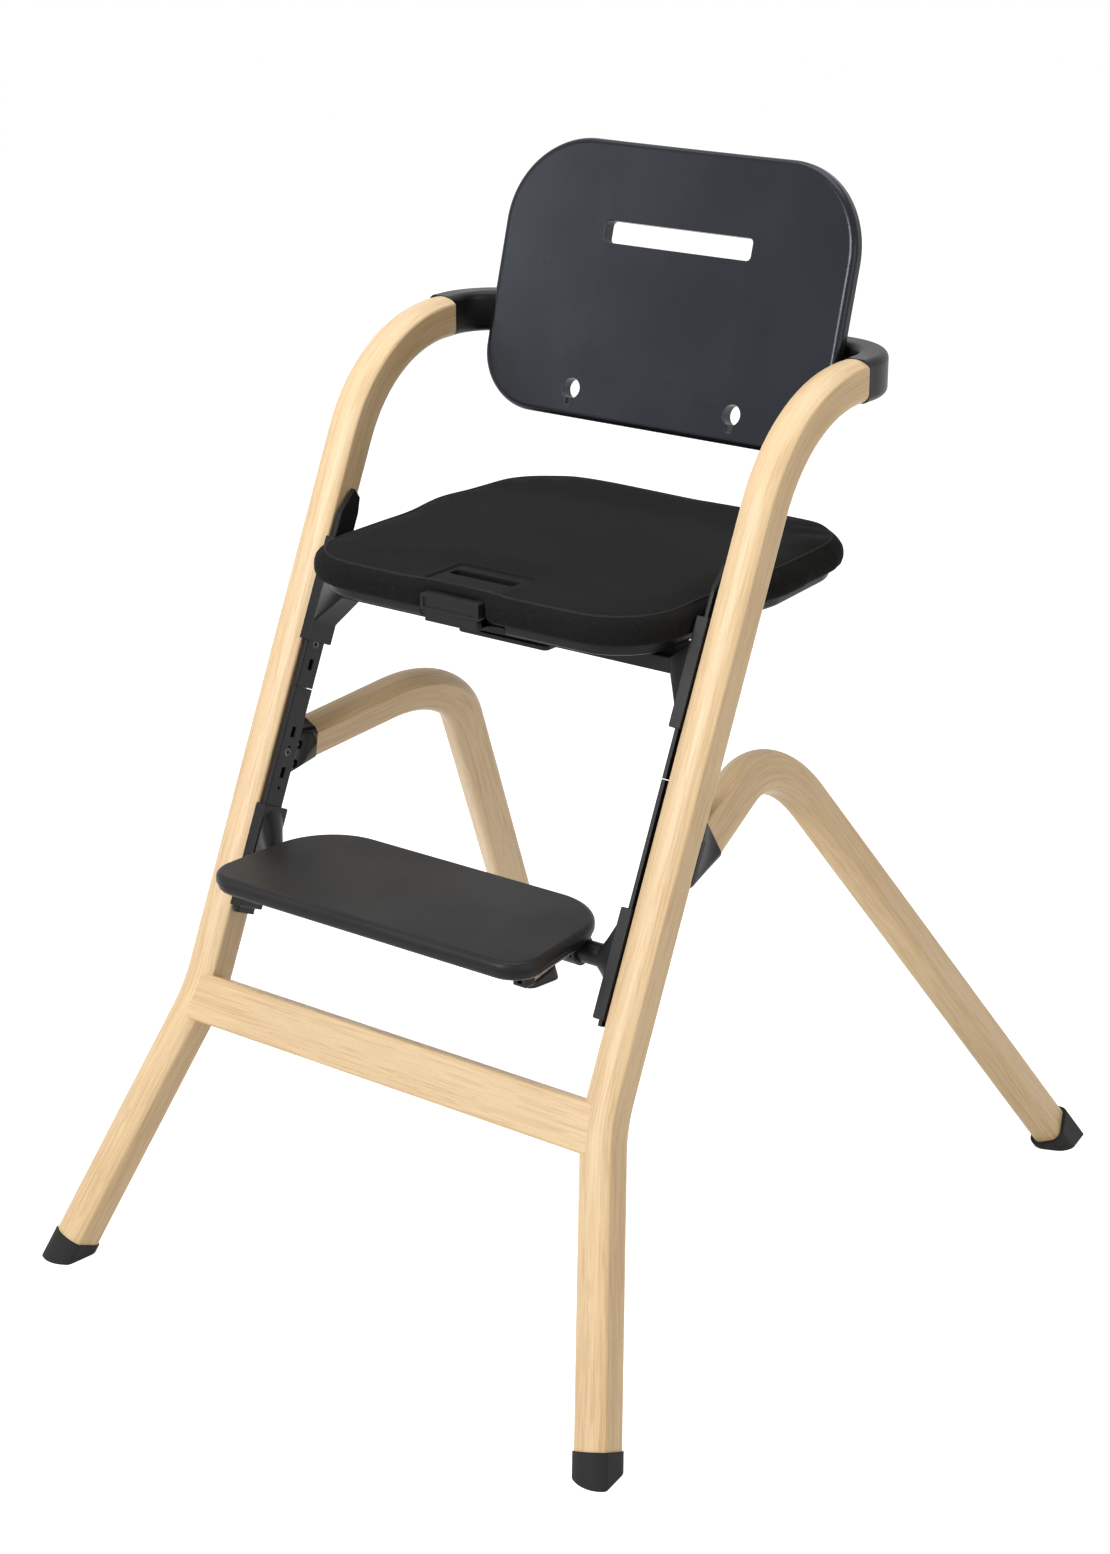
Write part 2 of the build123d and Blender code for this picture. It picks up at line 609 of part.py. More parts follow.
def on_back(edge, depth):
    """Whether an edge of a backrest layer lies on the curved face at this depth."""
    middle = edge @ 0.5
    radius = (middle.X ** 2 + (middle.Z - BACK_CURVE) ** 2) ** 0.5
    return abs(radius - BACK_CURVE - depth) < 0.01


def back_mount():
    """Right saddle block between the hoop and the leaning back shell."""
    half_w = BACK_MOUNT_WIDTH / 2
    reach = box(
        BACK_MOUNT_HALF - half_w, BACK_MOUNT_HALF + half_w,
        hoop_rear_y - 60, hoop_rear_y - HOOP_WIDTH / 2,
        ARM_HEIGHT - HOOP_HEIGHT / 2, ARM_HEIGHT + HOOP_HEIGHT / 2,
    )
    return reach - back_plane * back_space(BACK_CURVE + BACK_THICKNESS)


def back_screw_places():
    """Screws from behind the hoop, through the right saddle block into the backrest."""
    rear = hoop_rear_y + HOOP_WIDTH / 2
    tip = hoop_rear_y - HOOP_WIDTH / 2 - BACK_SCREW_BITE
    quarter = BACK_MOUNT_WIDTH / 4
    across = (BACK_MOUNT_HALF - quarter, BACK_MOUNT_HALF + quarter)
    return [((x, tip, ARM_HEIGHT), (x, rear, ARM_HEIGHT)) for x in across]


# ---- Guide rails ------------------------------------------------------------------------
def side_plate(outline, x0, x1):
    """Extrude an outline drawn as (along, forward) from x0 to x1, in the raked frame."""
    return extrude(Plane(origin=(x0, 0, 0), x_dir=(0, 1, 0), z_dir=(1, 0, 0)) * outline, x1 - x0)


def rail_slots(latch_at, steps):
    """Slot positions: the latch's own and one for each step above or below it."""
    return [latch_at + SLOT_PITCH * step for step in steps]


lower_slots = rail_slots(FOOT_LATCH_AT, range(-1, 4))
upper_slots = rail_slots(SEAT_LATCH_AT, range(-2, 2))


def guide_rail(bottom, top, slots, pointed):
    """Right-hand T-section rail with latch slots, and a pointed top on the upper length."""
    half, stem = RAIL_WIDTH / 2, RAIL_STEM_WIDTH / 2
    if pointed:
        nib = [(top, stem - RAIL_NIB), (top - RAIL_NIB, -stem)]
        tip = [(top - RAIL_TIP, half), *nib, (top - RAIL_TIP, -half)]
    else:
        tip = [(top, half), (top, -half)]
    outline = make_face(Polyline((bottom, -half), (bottom, half), *tip, close=True))
    flange = side_plate(outline, RAIL_FACE, RAIL_FACE + RAIL_FLANGE)
    flange = chamfer(flange.edges().group_by(Axis.X)[0].filter_by(Axis.Y), RAIL_CHAMFER)
    stem_top = top - RAIL_TIP if pointed else top
    stem_face = Pos((bottom + stem_top) / 2, 0) * Rectangle(stem_top - bottom, RAIL_STEM_WIDTH)
    rail = flange + side_plate(stem_face, RAIL_FACE + RAIL_FLANGE, INNER_FACE)
    for at in slots:
        slot = Pos(at, 0) * RectangleRounded(SLOT_LENGTH, SLOT_WIDTH, SLOT_CORNER)
        rail -= side_plate(slot, RAIL_FACE, INNER_FACE)
    for at in slots[1:]:
        peep = Pos(at - PEEP_AT, 0) * Circle(PEEP_RADIUS)
        rail -= side_plate(peep, RAIL_FACE, RAIL_FACE + RAIL_FLANGE / 2)
    return rail


def rail_screw_places():
    """Countersunk screws of the right-hand rails, midway between two slots."""
    places = []
    for slots in (lower_slots, upper_slots):
        for at in (slots[0] + SLOT_PITCH / 2, slots[-1] - SLOT_PITCH / 2):
            places.append(((INNER_FACE + RAIL_SCREW_BITE, at, 0), (RAIL_FACE, at, 0)))
    return in_rake(places)


# ---- Carriers ---------------------------------------------------------------------------
def carrier(bottom, top):
    """Right-hand C-section slider that hooks round both flanges of the rail."""
    half = CARRIER_WIDTH / 2
    lip = RAIL_WIDTH / 2 + FIT
    hook = RAIL_STEM_WIDTH / 2 + FIT
    back_x = INNER_FACE - 0.5
    gap_x = RAIL_FACE + RAIL_FLANGE + FIT
    outer = [(CARRIER_FACE, half), (back_x, half), (back_x, hook), (gap_x, hook), (gap_x, lip)]
    inner = [(RAIL_FACE - FIT, lip)]
    front = outer + inner
    back = [(x, -forward) for x, forward in reversed(front)]
    outline = make_face(Polyline(*front, *back, close=True))
    across = Plane(origin=(0, bottom, 0), x_dir=(1, 0, 0), z_dir=(0, 1, 0))
    body = extrude(across * outline, top - bottom)
    body = fillet(body.edges().group_by(Axis.X)[0].filter_by(Axis.Z), CARRIER_CORNER)
    return body


def latch_bar(at, tail_x, tip_x):
    """Latch tongue that fits a rail slot, from tail_x to tip_x, with a bevelled tip."""
    size = (SLOT_LENGTH - 2 * FIT, SLOT_WIDTH - 2 * FIT)
    bar = side_plate(Pos(at, 0) * Rectangle(*size), tail_x, tip_x)
    return rake * chamfer(bar.edges().group_by(Axis.X)[-1], LATCH_BEVEL)


def latch_way(at, x0, x1):
    """Clearance way for a latch tongue."""
    size = (SLOT_LENGTH, SLOT_WIDTH)
    return rake * side_plate(Pos(at, 0) * Rectangle(*size), x0, x1)


bar_low = beam_bottom + 1.8
bar_top = bar_low + BAR_THICKNESS


def seat_carrier():
    """Right seat carrier: slider with a flared boss that meets the cross beam."""
    slider = rake * carrier(SEAT_CARRIER_BOTTOM, SEAT_CARRIER_TOP)
    middle_y, middle_z = (beam_front + beam_back) / 2, (beam_top + beam_bottom) / 2
    beam_end = Plane(origin=(beam_half, middle_y, middle_z), x_dir=(0, 1, 0), z_dir=(1, 0, 0))
    beam_face = RectangleRounded(beam_back - beam_front, beam_top - beam_bottom, BEAM_EDGE)
    along = (SEAT_CARRIER_BOTTOM + SEAT_CARRIER_TOP) / 2 + FLARE_LIFT
    slider_end = rake * Plane(origin=(CARRIER_FACE, along, 0), x_dir=(0, 0, -1), z_dir=(1, 0, 0))
    slider_face = RectangleRounded(CARRIER_WIDTH, FLARE_HEIGHT, BEAM_EDGE)
    flare = loft([beam_end * beam_face, slider_end * slider_face], ruled=True)
    way = latch_way(SEAT_LATCH_AT, beam_half - 1, RAIL_FACE)
    return slider + flare - way


def cross_beam():
    """Moulded channel under the seat, open below, with end walls for the carriers."""
    outer = box(-beam_half, beam_half, beam_front, beam_back, beam_bottom, beam_top)
    outer = fillet(outer.edges().filter_by(Axis.X).group_by(Axis.Z)[-1], BEAM_EDGE)
    wall = BEAM_WALL
    inner = box(-beam_half + wall, beam_half - wall, beam_front + wall, beam_back - wall,
                beam_bottom - 1, beam_top - wall)
    beam = outer - inner
    beam += box(-LIP_HALF, LIP_HALF, beam_front - BEAM_LIP, beam_front + BEAM_EDGE + 1,
                beam_top - wall, beam_top)
    for side in (-1, 1):
        for x in (RIB_HALF, ARM_HALF):
            beam += box(side * x - wall / 2, side * x + wall / 2, beam_front + wall, rib_back,
                        bar_top + 1, beam_top - wall)
    beam -= both(latch_way(SEAT_LATCH_AT, beam_half - wall - 1, beam_half + 1))
    for step in range(3):
        y = depth_latch_y - step * DEPTH_STEP
        half = DEPTH_BOLT / 2 + FIT
        beam -= box(-BOLT_HALF - FIT, BOLT_HALF + FIT, y - half, y + half,
                    beam_top - wall - 1, beam_top + 1)
    return beam


def carrier_bolt_places():
    """Bolts from inside the beam's right end into the carrier's flare."""
    inside = beam_half - BEAM_WALL - BOLT_SIZE[2]
    z = beam_top - BEAM_WALL - BOLT_SIZE[1] - 1
    return [((CARRIER_FACE - 3, y, z), (inside, y, z)) for y in (beam_back - 8, beam_back - 20)]


def seat_arm():
    """Right support arm: a T-section under the seat, deeper at its root on the beam."""
    flange = box(ARM_HALF - ARM_FLANGE_WIDTH / 2, ARM_HALF + ARM_FLANGE_WIDTH / 2,
                 beam_front, arm_back, arm_top - ARM_FLANGE, arm_top)
    web = Polyline(
        (beam_front + BEAM_EDGE, arm_top - ARM_FLANGE), (beam_front + BEAM_EDGE, beam_top),
        (beam_back, beam_top), (beam_back, beam_bottom + 2), (arm_back, arm_top - ARM_TIP_DEPTH),
        (arm_back, arm_top - ARM_FLANGE), close=True,
    )
    side = Plane(origin=(ARM_HALF - ARM_WEB / 2, 0, 0), x_dir=(0, 1, 0), z_dir=(1, 0, 0))
    return flange + extrude(side * make_face(web), ARM_WEB)


def arm_stretcher():
    """Rear stretcher that ties the two support arms together."""
    inner = ARM_HALF - ARM_WEB / 2
    bar = box(-inner, inner, arm_back - STRETCHER_WIDTH, arm_back,
              arm_top - ARM_TIP_DEPTH, arm_top - ARM_FLANGE)
    return bar


def seat_latch():
    """Right latch tongue of the seat, with an ear behind it for the peg in the cam slot."""
    tongue = latch_bar(SEAT_LATCH_AT, peg_x - 8, latch_tip)
    ear = box(peg_x - 5, peg_x + 5, seat_latch_y, peg_y + 4, bar_top + 1, bar_top + 4)
    return tongue + ear + rod((peg_x, peg_y, bar_top + 2), (peg_x, peg_y, bar_low - 0.5), PEG_RADIUS)


def release_bar():
    """Flat bar inside the beam: finger grip below, a slanted cam slot at each end."""
    plate = box(-peg_x - 11, peg_x + 11, bar_front, bar_back, bar_low, bar_top)
    plate = fillet(plate.edges().filter_by(Axis.Z), 3)
    grip = box(-RELEASE_GRIP_HALF, RELEASE_GRIP_HALF, beam_front + 2, bar_back - 4,
               grip_bottom, grip_bottom + 4)
    grip = fillet(grip.edges().filter_by(Axis.Z), 5)
    grip = fillet(grip.edges().group_by(Axis.Z)[0], 1.5)
    stem = box(-RELEASE_GRIP_HALF + 8, RELEASE_GRIP_HALF - 8, bar_front, bar_front + 4,
               grip_bottom + 3, bar_low + 1)
    reach = LATCH_TRAVEL * 2 ** 0.5
    slot = Rot(0, 0, -45) * Pos(reach / 2, 0) * SlotCenterToCenter(reach, 2 * (PEG_RADIUS + FIT))
    cut = extrude(Pos(peg_x, peg_y, bar_low - 1) * slot, BAR_THICKNESS + 2)
    return plate + grip + stem - both(cut)


# ---- Seat -------------------------------------------------------------------------------
def seat_outline(inset=0.0):
    """Seat outline: wide rounded front, a slight waist between the uprights, rounded back."""
    waist_front, waist_back = seat_front + SEAT_WAIST[0], seat_front + SEAT_WAIST[1]
    side = [
        (seat_front_half, seat_front), (seat_half, waist_front), (seat_half, waist_back),
        (seat_rear_half, seat_widest_y), (seat_back_half, seat_back),
    ]
    other = [(-x, y) for x, y in reversed(side)]
    face = make_face(Polyline(*side, *other, close=True))
    face = fillet(face.vertices().group_by(Axis.Y)[0], SEAT_FRONT_RADIUS)
    face = fillet(face.vertices().group_by(Axis.Y)[-1], SEAT_BACK_RADIUS)
    widest = [v for v in face.vertices() if abs(abs(v.X) - seat_rear_half) < 0.01]
    face = fillet(widest, SEAT_SIDE_RADIUS)
    return offset(face, -inset) if inset else face


shell_bottom = arm_top + FIT
pad_bottom = shell_bottom + SHELL_THICKNESS + FIT
pad_top = pad_bottom + PAD_THICKNESS


def strap_passage(grow, z0, z1):
    """Upright slot through the seat for the strap between the legs."""
    size = (STRAP_SLOT_WIDTH + 2 * grow, STRAP_SLOT_DEPTH + 2 * grow)
    return Pos(0, strap_slot_y, z0) * extrude(RectangleRounded(*size, 2 + grow), z1 - z0)


def bezel_plate(inset, z0, z1):
    """Plate of the strap guide, or with no inset the hollow it lies in."""
    width, depth = 2 * (BEZEL_HALF - inset), bezel_back - bezel_front - 2 * inset
    outline = RectangleRounded(width, depth, BEZEL_CORNER - inset)
    return Pos(0, (bezel_front + bezel_back) / 2, z0) * extrude(outline, z1 - z0)


def seat_shell():
    """Moulded seat shell with hooked runners for the arms and a channel for the trigger."""
    shell = Pos(0, 0, shell_bottom) * extrude(seat_outline(SHELL_INSET), SHELL_THICKNESS)
    shell = fillet(shell.faces().sort_by(Axis.Z)[0].edges(), SHELL_EDGE)
    runner_front = beam_back + SEAT_TRAVEL + 1
    runner_back = arm_back - STRETCHER_WIDTH - 2
    hook_in = ARM_HALF - ARM_FLANGE_WIDTH / 2 - FIT
    hook_out = ARM_HALF + ARM_FLANGE_WIDTH / 2 + FIT
    low = arm_top - ARM_FLANGE - FIT
    for side in (-1, 1):
        for x0, x1, toe in ((hook_in - 4, hook_in, hook_in + 5), (hook_out, hook_out + 4, hook_out - 5)):
            wall = box(side * x0, side * x1, runner_front, runner_back, low - 3, shell_bottom + 2)
            near = x1 if toe > x1 else x0
            lip = box(side * near, side * toe, runner_front, runner_back, low - 3, low)
            shell += wall + lip
    top = shell_bottom + SHELL_THICKNESS
    channel = box(-STRIP_HALF - 1, STRIP_HALF + 1, seat_front, depth_latch_y + 6, shell_bottom - 1, top - 2)
    shell -= channel
    return shell - strap_passage(0, shell_bottom - 1, top + 1)


def seat_pad():
    """Padded seat cover as one simple soft solid, notched for the paddle and the strap."""
    lower = Pos(0, 0, pad_bottom) * extrude(seat_outline(0), PAD_THICKNESS)
    pad = fillet(lower.faces().sort_by(Axis.Z)[-1].edges(), PAD_TOP_EDGE)
    pad = fillet(pad.faces().sort_by(Axis.Z)[0].edges(), PAD_BOTTOM_EDGE)
    notch = box(-PADDLE_HALF - 2, PADDLE_HALF + 2, seat_front - 10, seat_front + PADDLE_DEPTH + 1,
                pad_bottom - 1, pad_bottom + PADDLE_HEIGHT + 1)
    pad -= bezel_plate(0, pad_top - BEZEL_SINK - BEZEL_PLATE - FIT, pad_top + 1)
    return pad - notch - strap_passage(BEZEL_WALL + FIT, pad_bottom - 1, pad_top + 1)


def strap_bezel():
    """Strap guide: sleeve through the pad under a plate that lies sunk in the pad's top."""
    sleeve = strap_passage(BEZEL_WALL, pad_bottom - FIT, pad_top - BEZEL_SINK)
    plate = bezel_plate(FIT, pad_top - BEZEL_SINK - BEZEL_PLATE, pad_top - BEZEL_SINK)
    plate = fillet(plate.edges().group_by(Axis.Z)[-1], 0.8)
    bezel = sleeve + plate - strap_passage(0, pad_bottom - 1, pad_top)
    mouth = [e for e in bezel.edges().group_by(Axis.Z)[-1] if abs((e @ 0.5).X) < STRAP_SLOT_WIDTH / 2 + 1
             and abs((e @ 0.5).Y - strap_slot_y) < STRAP_SLOT_DEPTH / 2 + 1]
    return chamfer(mouth, 0.6)


strip_low = shell_bottom + DEPTH_TRAVEL


def depth_trigger():
    """Trigger at the seat's front: paddle and the flat strip that runs back under the pad."""
    strip = box(-STRIP_HALF, STRIP_HALF, bezel_front, depth_latch_y + DEPTH_BOLT / 2,
                strip_low, strip_low + 2)
    strip -= strap_passage(2, strip_low - 1, strip_low + 3)
    neck = PADDLE_HALF - 3
    strip += box(-neck, neck, seat_front, bezel_front + 1, strip_low, strip_low + 2)
    paddle = box(-PADDLE_HALF, PADDLE_HALF, seat_front - 4, seat_front + PADDLE_DEPTH,
                 pad_bottom + DEPTH_TRAVEL, pad_bottom + PADDLE_HEIGHT)
    paddle = fillet(paddle.edges().filter_by(Axis.Y), 2.5)
    dish = box(-PADDLE_HALF + 3, PADDLE_HALF - 3, seat_front - 5, seat_front - 3,
               pad_bottom + DEPTH_TRAVEL + 3, pad_bottom + PADDLE_HEIGHT - 3)
    drop = box(-neck, neck, seat_front - 2, seat_front + 4, strip_low, pad_bottom + PADDLE_HEIGHT - 4)
    return strip + paddle - dish + drop


def depth_bolt():
    """Bolt under the trigger's strip that drops into a slot of the cross beam."""
    half = DEPTH_BOLT / 2
    return box(-BOLT_HALF, BOLT_HALF, depth_latch_y - half, depth_latch_y + half,
               beam_top + FIT, strip_low)


# ---- Footrest ---------------------------------------------------------------------------
def footrest_outline(inset=0.0):
    """Footrest outline: straight front edge, ends that narrow towards the rounded back."""
    front, back = footrest_front + inset, footrest_back - inset
    front_half, back_half = footrest_half - inset, footrest_back_half - inset
    face = make_face(Polyline(
        (-front_half, front), (front_half, front), (back_half, back), (-back_half, back), close=True,
    ))
    face = fillet(face.vertices().group_by(Axis.Y)[0], FOOTREST_FRONT_RADIUS - inset)
    return fillet(face.vertices().group_by(Axis.Y)[-1], FOOTREST_BACK_RADIUS - inset)


foot_bottom = footrest_top - FOOTREST_THICKNESS
foot_split = footrest_top - FOOTREST_COVER


def saddle(radius, x0, x1):
    """Round way along X for the footrest's shaft."""
    return rod((x0, foot_latch_y, foot_latch_z), (x1, foot_latch_y, foot_latch_z), radius)


def footrest_tread():
    """Top cover of the footrest, hollow below, with a rounded rim."""
    tread = Pos(0, 0, foot_split) * extrude(footrest_outline(), FOOTREST_COVER)
    tread = fillet(tread.faces().sort_by(Axis.Z)[-1].edges(), FOOTREST_EDGE)
    hollow = Pos(0, 0, foot_split) * extrude(footrest_outline(6), FOOTREST_COVER - 3)
    tread -= hollow
    tread += both(footrest_posts())
    places = footrest_screw_places()
    return bored(tread, places + mirrored(places), PLASTIC_SCREW)


def footrest_screw_places():
    """Screws from below the tray into the tread's posts, right-hand half."""
    places = []
    for x, y in ((FOOTREST_SCREW_X, footrest_front + 22), (FOOTREST_SCREW_X - 40, footrest_back - 22)):
        places.append(((x, y, footrest_top - 5), (x, y, foot_bottom)))
    return places


def footrest_posts():
    """Round posts under the tread that take the screws, right-hand half."""
    posts = []
    for (x, y, _), _ in footrest_screw_places():
        posts.append(rod((x, y, foot_split), (x, y, footrest_top - 2), 4))
    return Compound(children=posts)


def footrest_tray():
    """Lower shell of the footrest: rim wall, floor, ribs and half-round shaft saddles."""
    depth = FOOTREST_THICKNESS - FOOTREST_COVER
    tray = Pos(0, 0, foot_bottom) * extrude(footrest_outline(TRAY_INSET), depth)
    tray = fillet(tray.faces().sort_by(Axis.Z)[0].edges(), 4)
    hollow = Pos(0, 0, foot_bottom + 3) * extrude(footrest_outline(6), depth)
    tray -= hollow
    for step in range(-2, 3):
        x = step * TRAY_RIB_PITCH
        rib = box(x - 1.5, x + 1.5, footrest_front + 12, foot_latch_y + 14, foot_bottom + 1, foot_split)
        tray += rib
    tray += saddle(SHAFT_RADIUS + KEEL_WALL, -keel_end, keel_end)
    tray -= saddle(SHAFT_RADIUS, -FRAME_HALF, FRAME_HALF)
    for (x, y, _), _ in footrest_screw_places():
        tray += both(rod((x, y, foot_bottom + 1), (x, y, foot_split), 5))
    places = footrest_screw_places()
    tray = bored(tray, places + mirrored(places), PLASTIC_SCREW)
    return tray - both(finger_way())


finger_z = foot_latch_z - 1.5


def finger_way():
    """Way out of the shaft and its sleeve for the right latch's forward arm."""
    return box(finger_x - 5, finger_x + 5 + LATCH_TRAVEL, foot_latch_y - SHAFT_RADIUS - KEEL_WALL - 1,
               foot_latch_y, finger_z - 0.5, finger_z + 3.5)


def footrest_shaft():
    """Shaft across the footrest, let into both carriers; its end bores guide the latches."""
    half = CARRIER_FACE + SHAFT_INSET
    bore = saddle(SHAFT_BORE, foot_spring_wall, half + 1)
    return saddle(SHAFT_RADIUS, -half, half) - both(bore + finger_way())


def footrest_carrier():
    """Right footrest carrier: slider with a flare that swells out of the shaft's end."""
    slider = rake * carrier(FOOT_CARRIER_BOTTOM, FOOT_CARRIER_TOP)
    start = CARRIER_FACE - FOOT_FLARE_REACH
    end = Plane(origin=(start, foot_latch_y, foot_latch_z), x_dir=rake.z_dir * -1, z_dir=(1, 0, 0))
    along = FOOT_LATCH_AT + FOOT_FLARE_LIFT
    slider_end = rake * Plane(origin=(CARRIER_FACE, along, 0), x_dir=(0, 0, -1), z_dir=(1, 0, 0))
    slider_face = RectangleRounded(CARRIER_WIDTH - 3, FOOT_FLARE_HEIGHT, 12)
    flare = loft([end * Circle(SHAFT_RADIUS + 2), slider_end * slider_face])
    body = slider + flare - saddle(SHAFT_RADIUS, start - 1, CARRIER_FACE + SHAFT_INSET)
    return body - latch_way(FOOT_LATCH_AT, start - 1, RAIL_FACE)


def footrest_latch():
    """Right footrest latch: tongue in the shaft's bore, a forward arm and a finger tab."""
    bar = latch_bar(FOOT_LATCH_AT, foot_latch_tail, latch_tip)
    arm = box(finger_x - 4, finger_x + 4, finger_y - 5, foot_latch_y, finger_z, finger_z + 3)
    tab = box(finger_x - 6, finger_x + 6, finger_y - 6, finger_y + 5, finger_low, finger_z + 3)
    tab = fillet(tab.edges().group_by(Axis.Z)[0], 1.5)
    hole = box(finger_x - 2, finger_x + 2, finger_y - 7, finger_y - 2, finger_low + 3, finger_low + 7)
    return bar + arm + tab - hole


# ---- Fasteners, springs and plugs ---------------------------------------------------------
def hoop_screw_places():
    """Screw through the arm's inner side into the hoop's tenon."""
    y = arm_end_y - HOOP_TENON / 2
    head = INNER_FACE - 0.5 + HOOP_SCREW[2]
    return [((FRAME_HALF + HOOP_TENON_WIDTH / 2 + 2, y, ARM_HEIGHT), (head, y, ARM_HEIGHT))]


def socket_screw_places():
    """Screws driven from the socket's hollow into the upright."""
    foot, top = socket_reach(-REAR_LEG_DEPTH / 2), socket_reach(REAR_LEG_DEPTH / 2)
    depth = UPRIGHT_DEPTH / 2
    places = []
    for at in (foot + (top - foot) * 0.3, foot + (top - foot) * 0.7):
        places.append(((FRAME_HALF + 3, at, 2), (INNER_FACE + 2, at, -depth - 8)))
    return in_rake(places)


def dowel_places():
    """Dowels between the crossbar and the right leg."""
    forward = UPRIGHT_DEPTH / 2 - CROSSBAR_SETBACK - CROSSBAR_DEPTH / 2
    half = DOWEL_LENGTH / 2
    places = []
    for along in (-CROSSBAR_DROP - DOWEL_SPACING / 2, -CROSSBAR_DROP + DOWEL_SPACING / 2):
        places.append(((INNER_FACE - half, along, forward), (INNER_FACE + half, along, forward)))
    return in_rake(places)


def dowels():
    """Dowels of both crossbar ends."""
    return both(Compound(children=[rod(a, b, DOWEL_RADIUS) for a, b in dowel_places()]))


def leaf_spring(y, z, tail, wall):
    """Bent strip that pushes the right latch outward, its foot on a wall further in."""
    start, end = wall + FIT + SPRING_THICKNESS / 2, tail - FIT - SPRING_THICKNESS / 2
    span = end - start
    half, thick = SPRING_WIDTH / 2, SPRING_THICKNESS
    bow = FilletPolyline(
        (start, y + SPRING_FOOT), (start, y), (start + span / 2, y + SPRING_BOW), (end, y),
        (end, y + SPRING_FOOT), radius=2,
    )
    strip = trace(bow, thick)
    return Pos(0, 0, z - half) * extrude(strip, 2 * half)


def cap_plug(foot, axis):
    """Plug of a foot cap, let up into the leg's end."""
    return rod(foot - axis * CAP_PLUG_LENGTH, foot - axis * (CAP_FLOOR + 1), CAP_PLUG_RADIUS)


# ---- Assembly ---------------------------------------------------------------------------
def build_frame():
    """The standing frame: legs, crossbar, hoop, backrest, rails, caps and their fasteners."""
    leg = bored(front_leg() - hoop_tenon(), rail_screw_places(), WOOD_SCREW)
    leg = bored(leg, hoop_screw_places(), HOOP_SCREW)
    leg = bored(leg, socket_screw_places(), WOOD_SCREW)
    leg -= cap_plug(front_foot, front_axis)
    for a, b in dowel_places():
        leg -= rod(a, b, DOWEL_RADIUS)
    rear = rear_leg() - cap_plug(rear_foot, rear_lower)
    socket = bored(rear_leg_socket(front_leg()), socket_screw_places(), WOOD_SCREW)
    keep_pair("front_leg", leg)
    keep_pair("rear_leg", rear)
    keep_pair("rear_leg_socket", socket)
    keep_pair("front_foot_cap", front_cap(front_leg()))
    keep_pair("rear_foot_cap", rear_cap(rear))
    bar = crossbar([front_leg(), mirror(front_leg(), about=Plane.YZ)])
    PARTS["front_crossbar"] = bar - dowels()
    PARTS["crossbar_dowels"] = dowels()
    hoop = bored(back_hoop(), hoop_screw_places(), HOOP_SCREW)
    hoop = bored(hoop, mirrored(hoop_screw_places()), HOOP_SCREW)
    back_places = back_screw_places() + mirrored(back_screw_places())
    PARTS["back_hoop"] = bored(hoop, back_places, BACK_SCREW)
    front_shell, rear_shell = back_shells()
    PARTS["backrest_front_shell"] = bored(front_shell, back_places, BACK_SCREW)
    PARTS["backrest_rear_shell"] = bored(rear_shell, back_places, BACK_SCREW)
    keep_pair("backrest_mount", bored(back_mount(), back_screw_places(), BACK_SCREW))
    PARTS["backrest_screws"] = screws(back_places, BACK_SCREW)
    PARTS["hoop_screws"] = screws(hoop_screw_places() + mirrored(hoop_screw_places()), HOOP_SCREW)
    PARTS["rear_leg_socket_screws"] = screws(
        socket_screw_places() + mirrored(socket_screw_places()), WOOD_SCREW)
    lower = rake * guide_rail(RAIL_BOTTOM, RAIL_SPLIT - FIT, lower_slots, False)
    upper = rake * guide_rail(RAIL_SPLIT + FIT, RAIL_TOP, upper_slots, True)
    keep_pair("lower_guide_rail", bored(lower, rail_screw_places(), WOOD_SCREW))
    keep_pair("upper_guide_rail", bored(upper, rail_screw_places(), WOOD_SCREW))
    PARTS["guide_rail_screws"] = screws(rail_screw_places() + mirrored(rail_screw_places()), WOOD_SCREW)


def build_seat():
    """The seat carriage with its latches, and the seat that slides on it."""
    places = carrier_bolt_places()
    keep_pair("seat_carrier", bored(seat_carrier(), places, BOLT_SIZE))
    PARTS["seat_cross_beam"] = bored(cross_beam(), places + mirrored(places), BOLT_SIZE)
    PARTS["seat_carrier_bolts"] = screws(places + mirrored(places), BOLT_SIZE)
    keep_pair("seat_arm", seat_arm())
    PARTS["seat_arm_stretcher"] = arm_stretcher()
    keep_pair("seat_latch", seat_latch())
    PARTS["seat_release_bar"] = release_bar()
    spring = leaf_spring(seat_latch_y, seat_latch_z, peg_x - 8, ARM_HALF + BEAM_WALL / 2)
    PARTS["seat_latch_springs"] = both(spring)
    PARTS["seat_shell"] = seat_shell()
    PARTS["seat_pad"] = seat_pad()
    PARTS["strap_bezel"] = strap_bezel()
    PARTS["depth_trigger"] = depth_trigger()
    PARTS["depth_bolt"] = depth_bolt()


def build_footrest():
    """The footrest carriage: tread, tray, shaft, carriers and latches."""
    PARTS["footrest_tread"] = footrest_tread()
    PARTS["footrest_tray"] = footrest_tray()
    PARTS["footrest_shaft"] = footrest_shaft()
    places = footrest_screw_places()
    PARTS["footrest_screws"] = screws(places + mirrored(places), PLASTIC_SCREW)
    spring = leaf_spring(foot_latch_y, foot_latch_z, foot_latch_tail, foot_spring_wall)
    PARTS["footrest_latch_springs"] = both(spring)
    keep_pair("footrest_carrier", footrest_carrier())
    keep_pair("footrest_latch", footrest_latch())


build_frame()
build_seat()
build_footrest()
for name, shape in PARTS.items():
    export_step(shape, f"parts/{name}.step")
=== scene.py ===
"""Looks of the high chair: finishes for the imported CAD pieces, and the padded, piped seat cover."""

import math

import bpy
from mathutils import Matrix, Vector
from mathutils.bvhtree import BVHTree


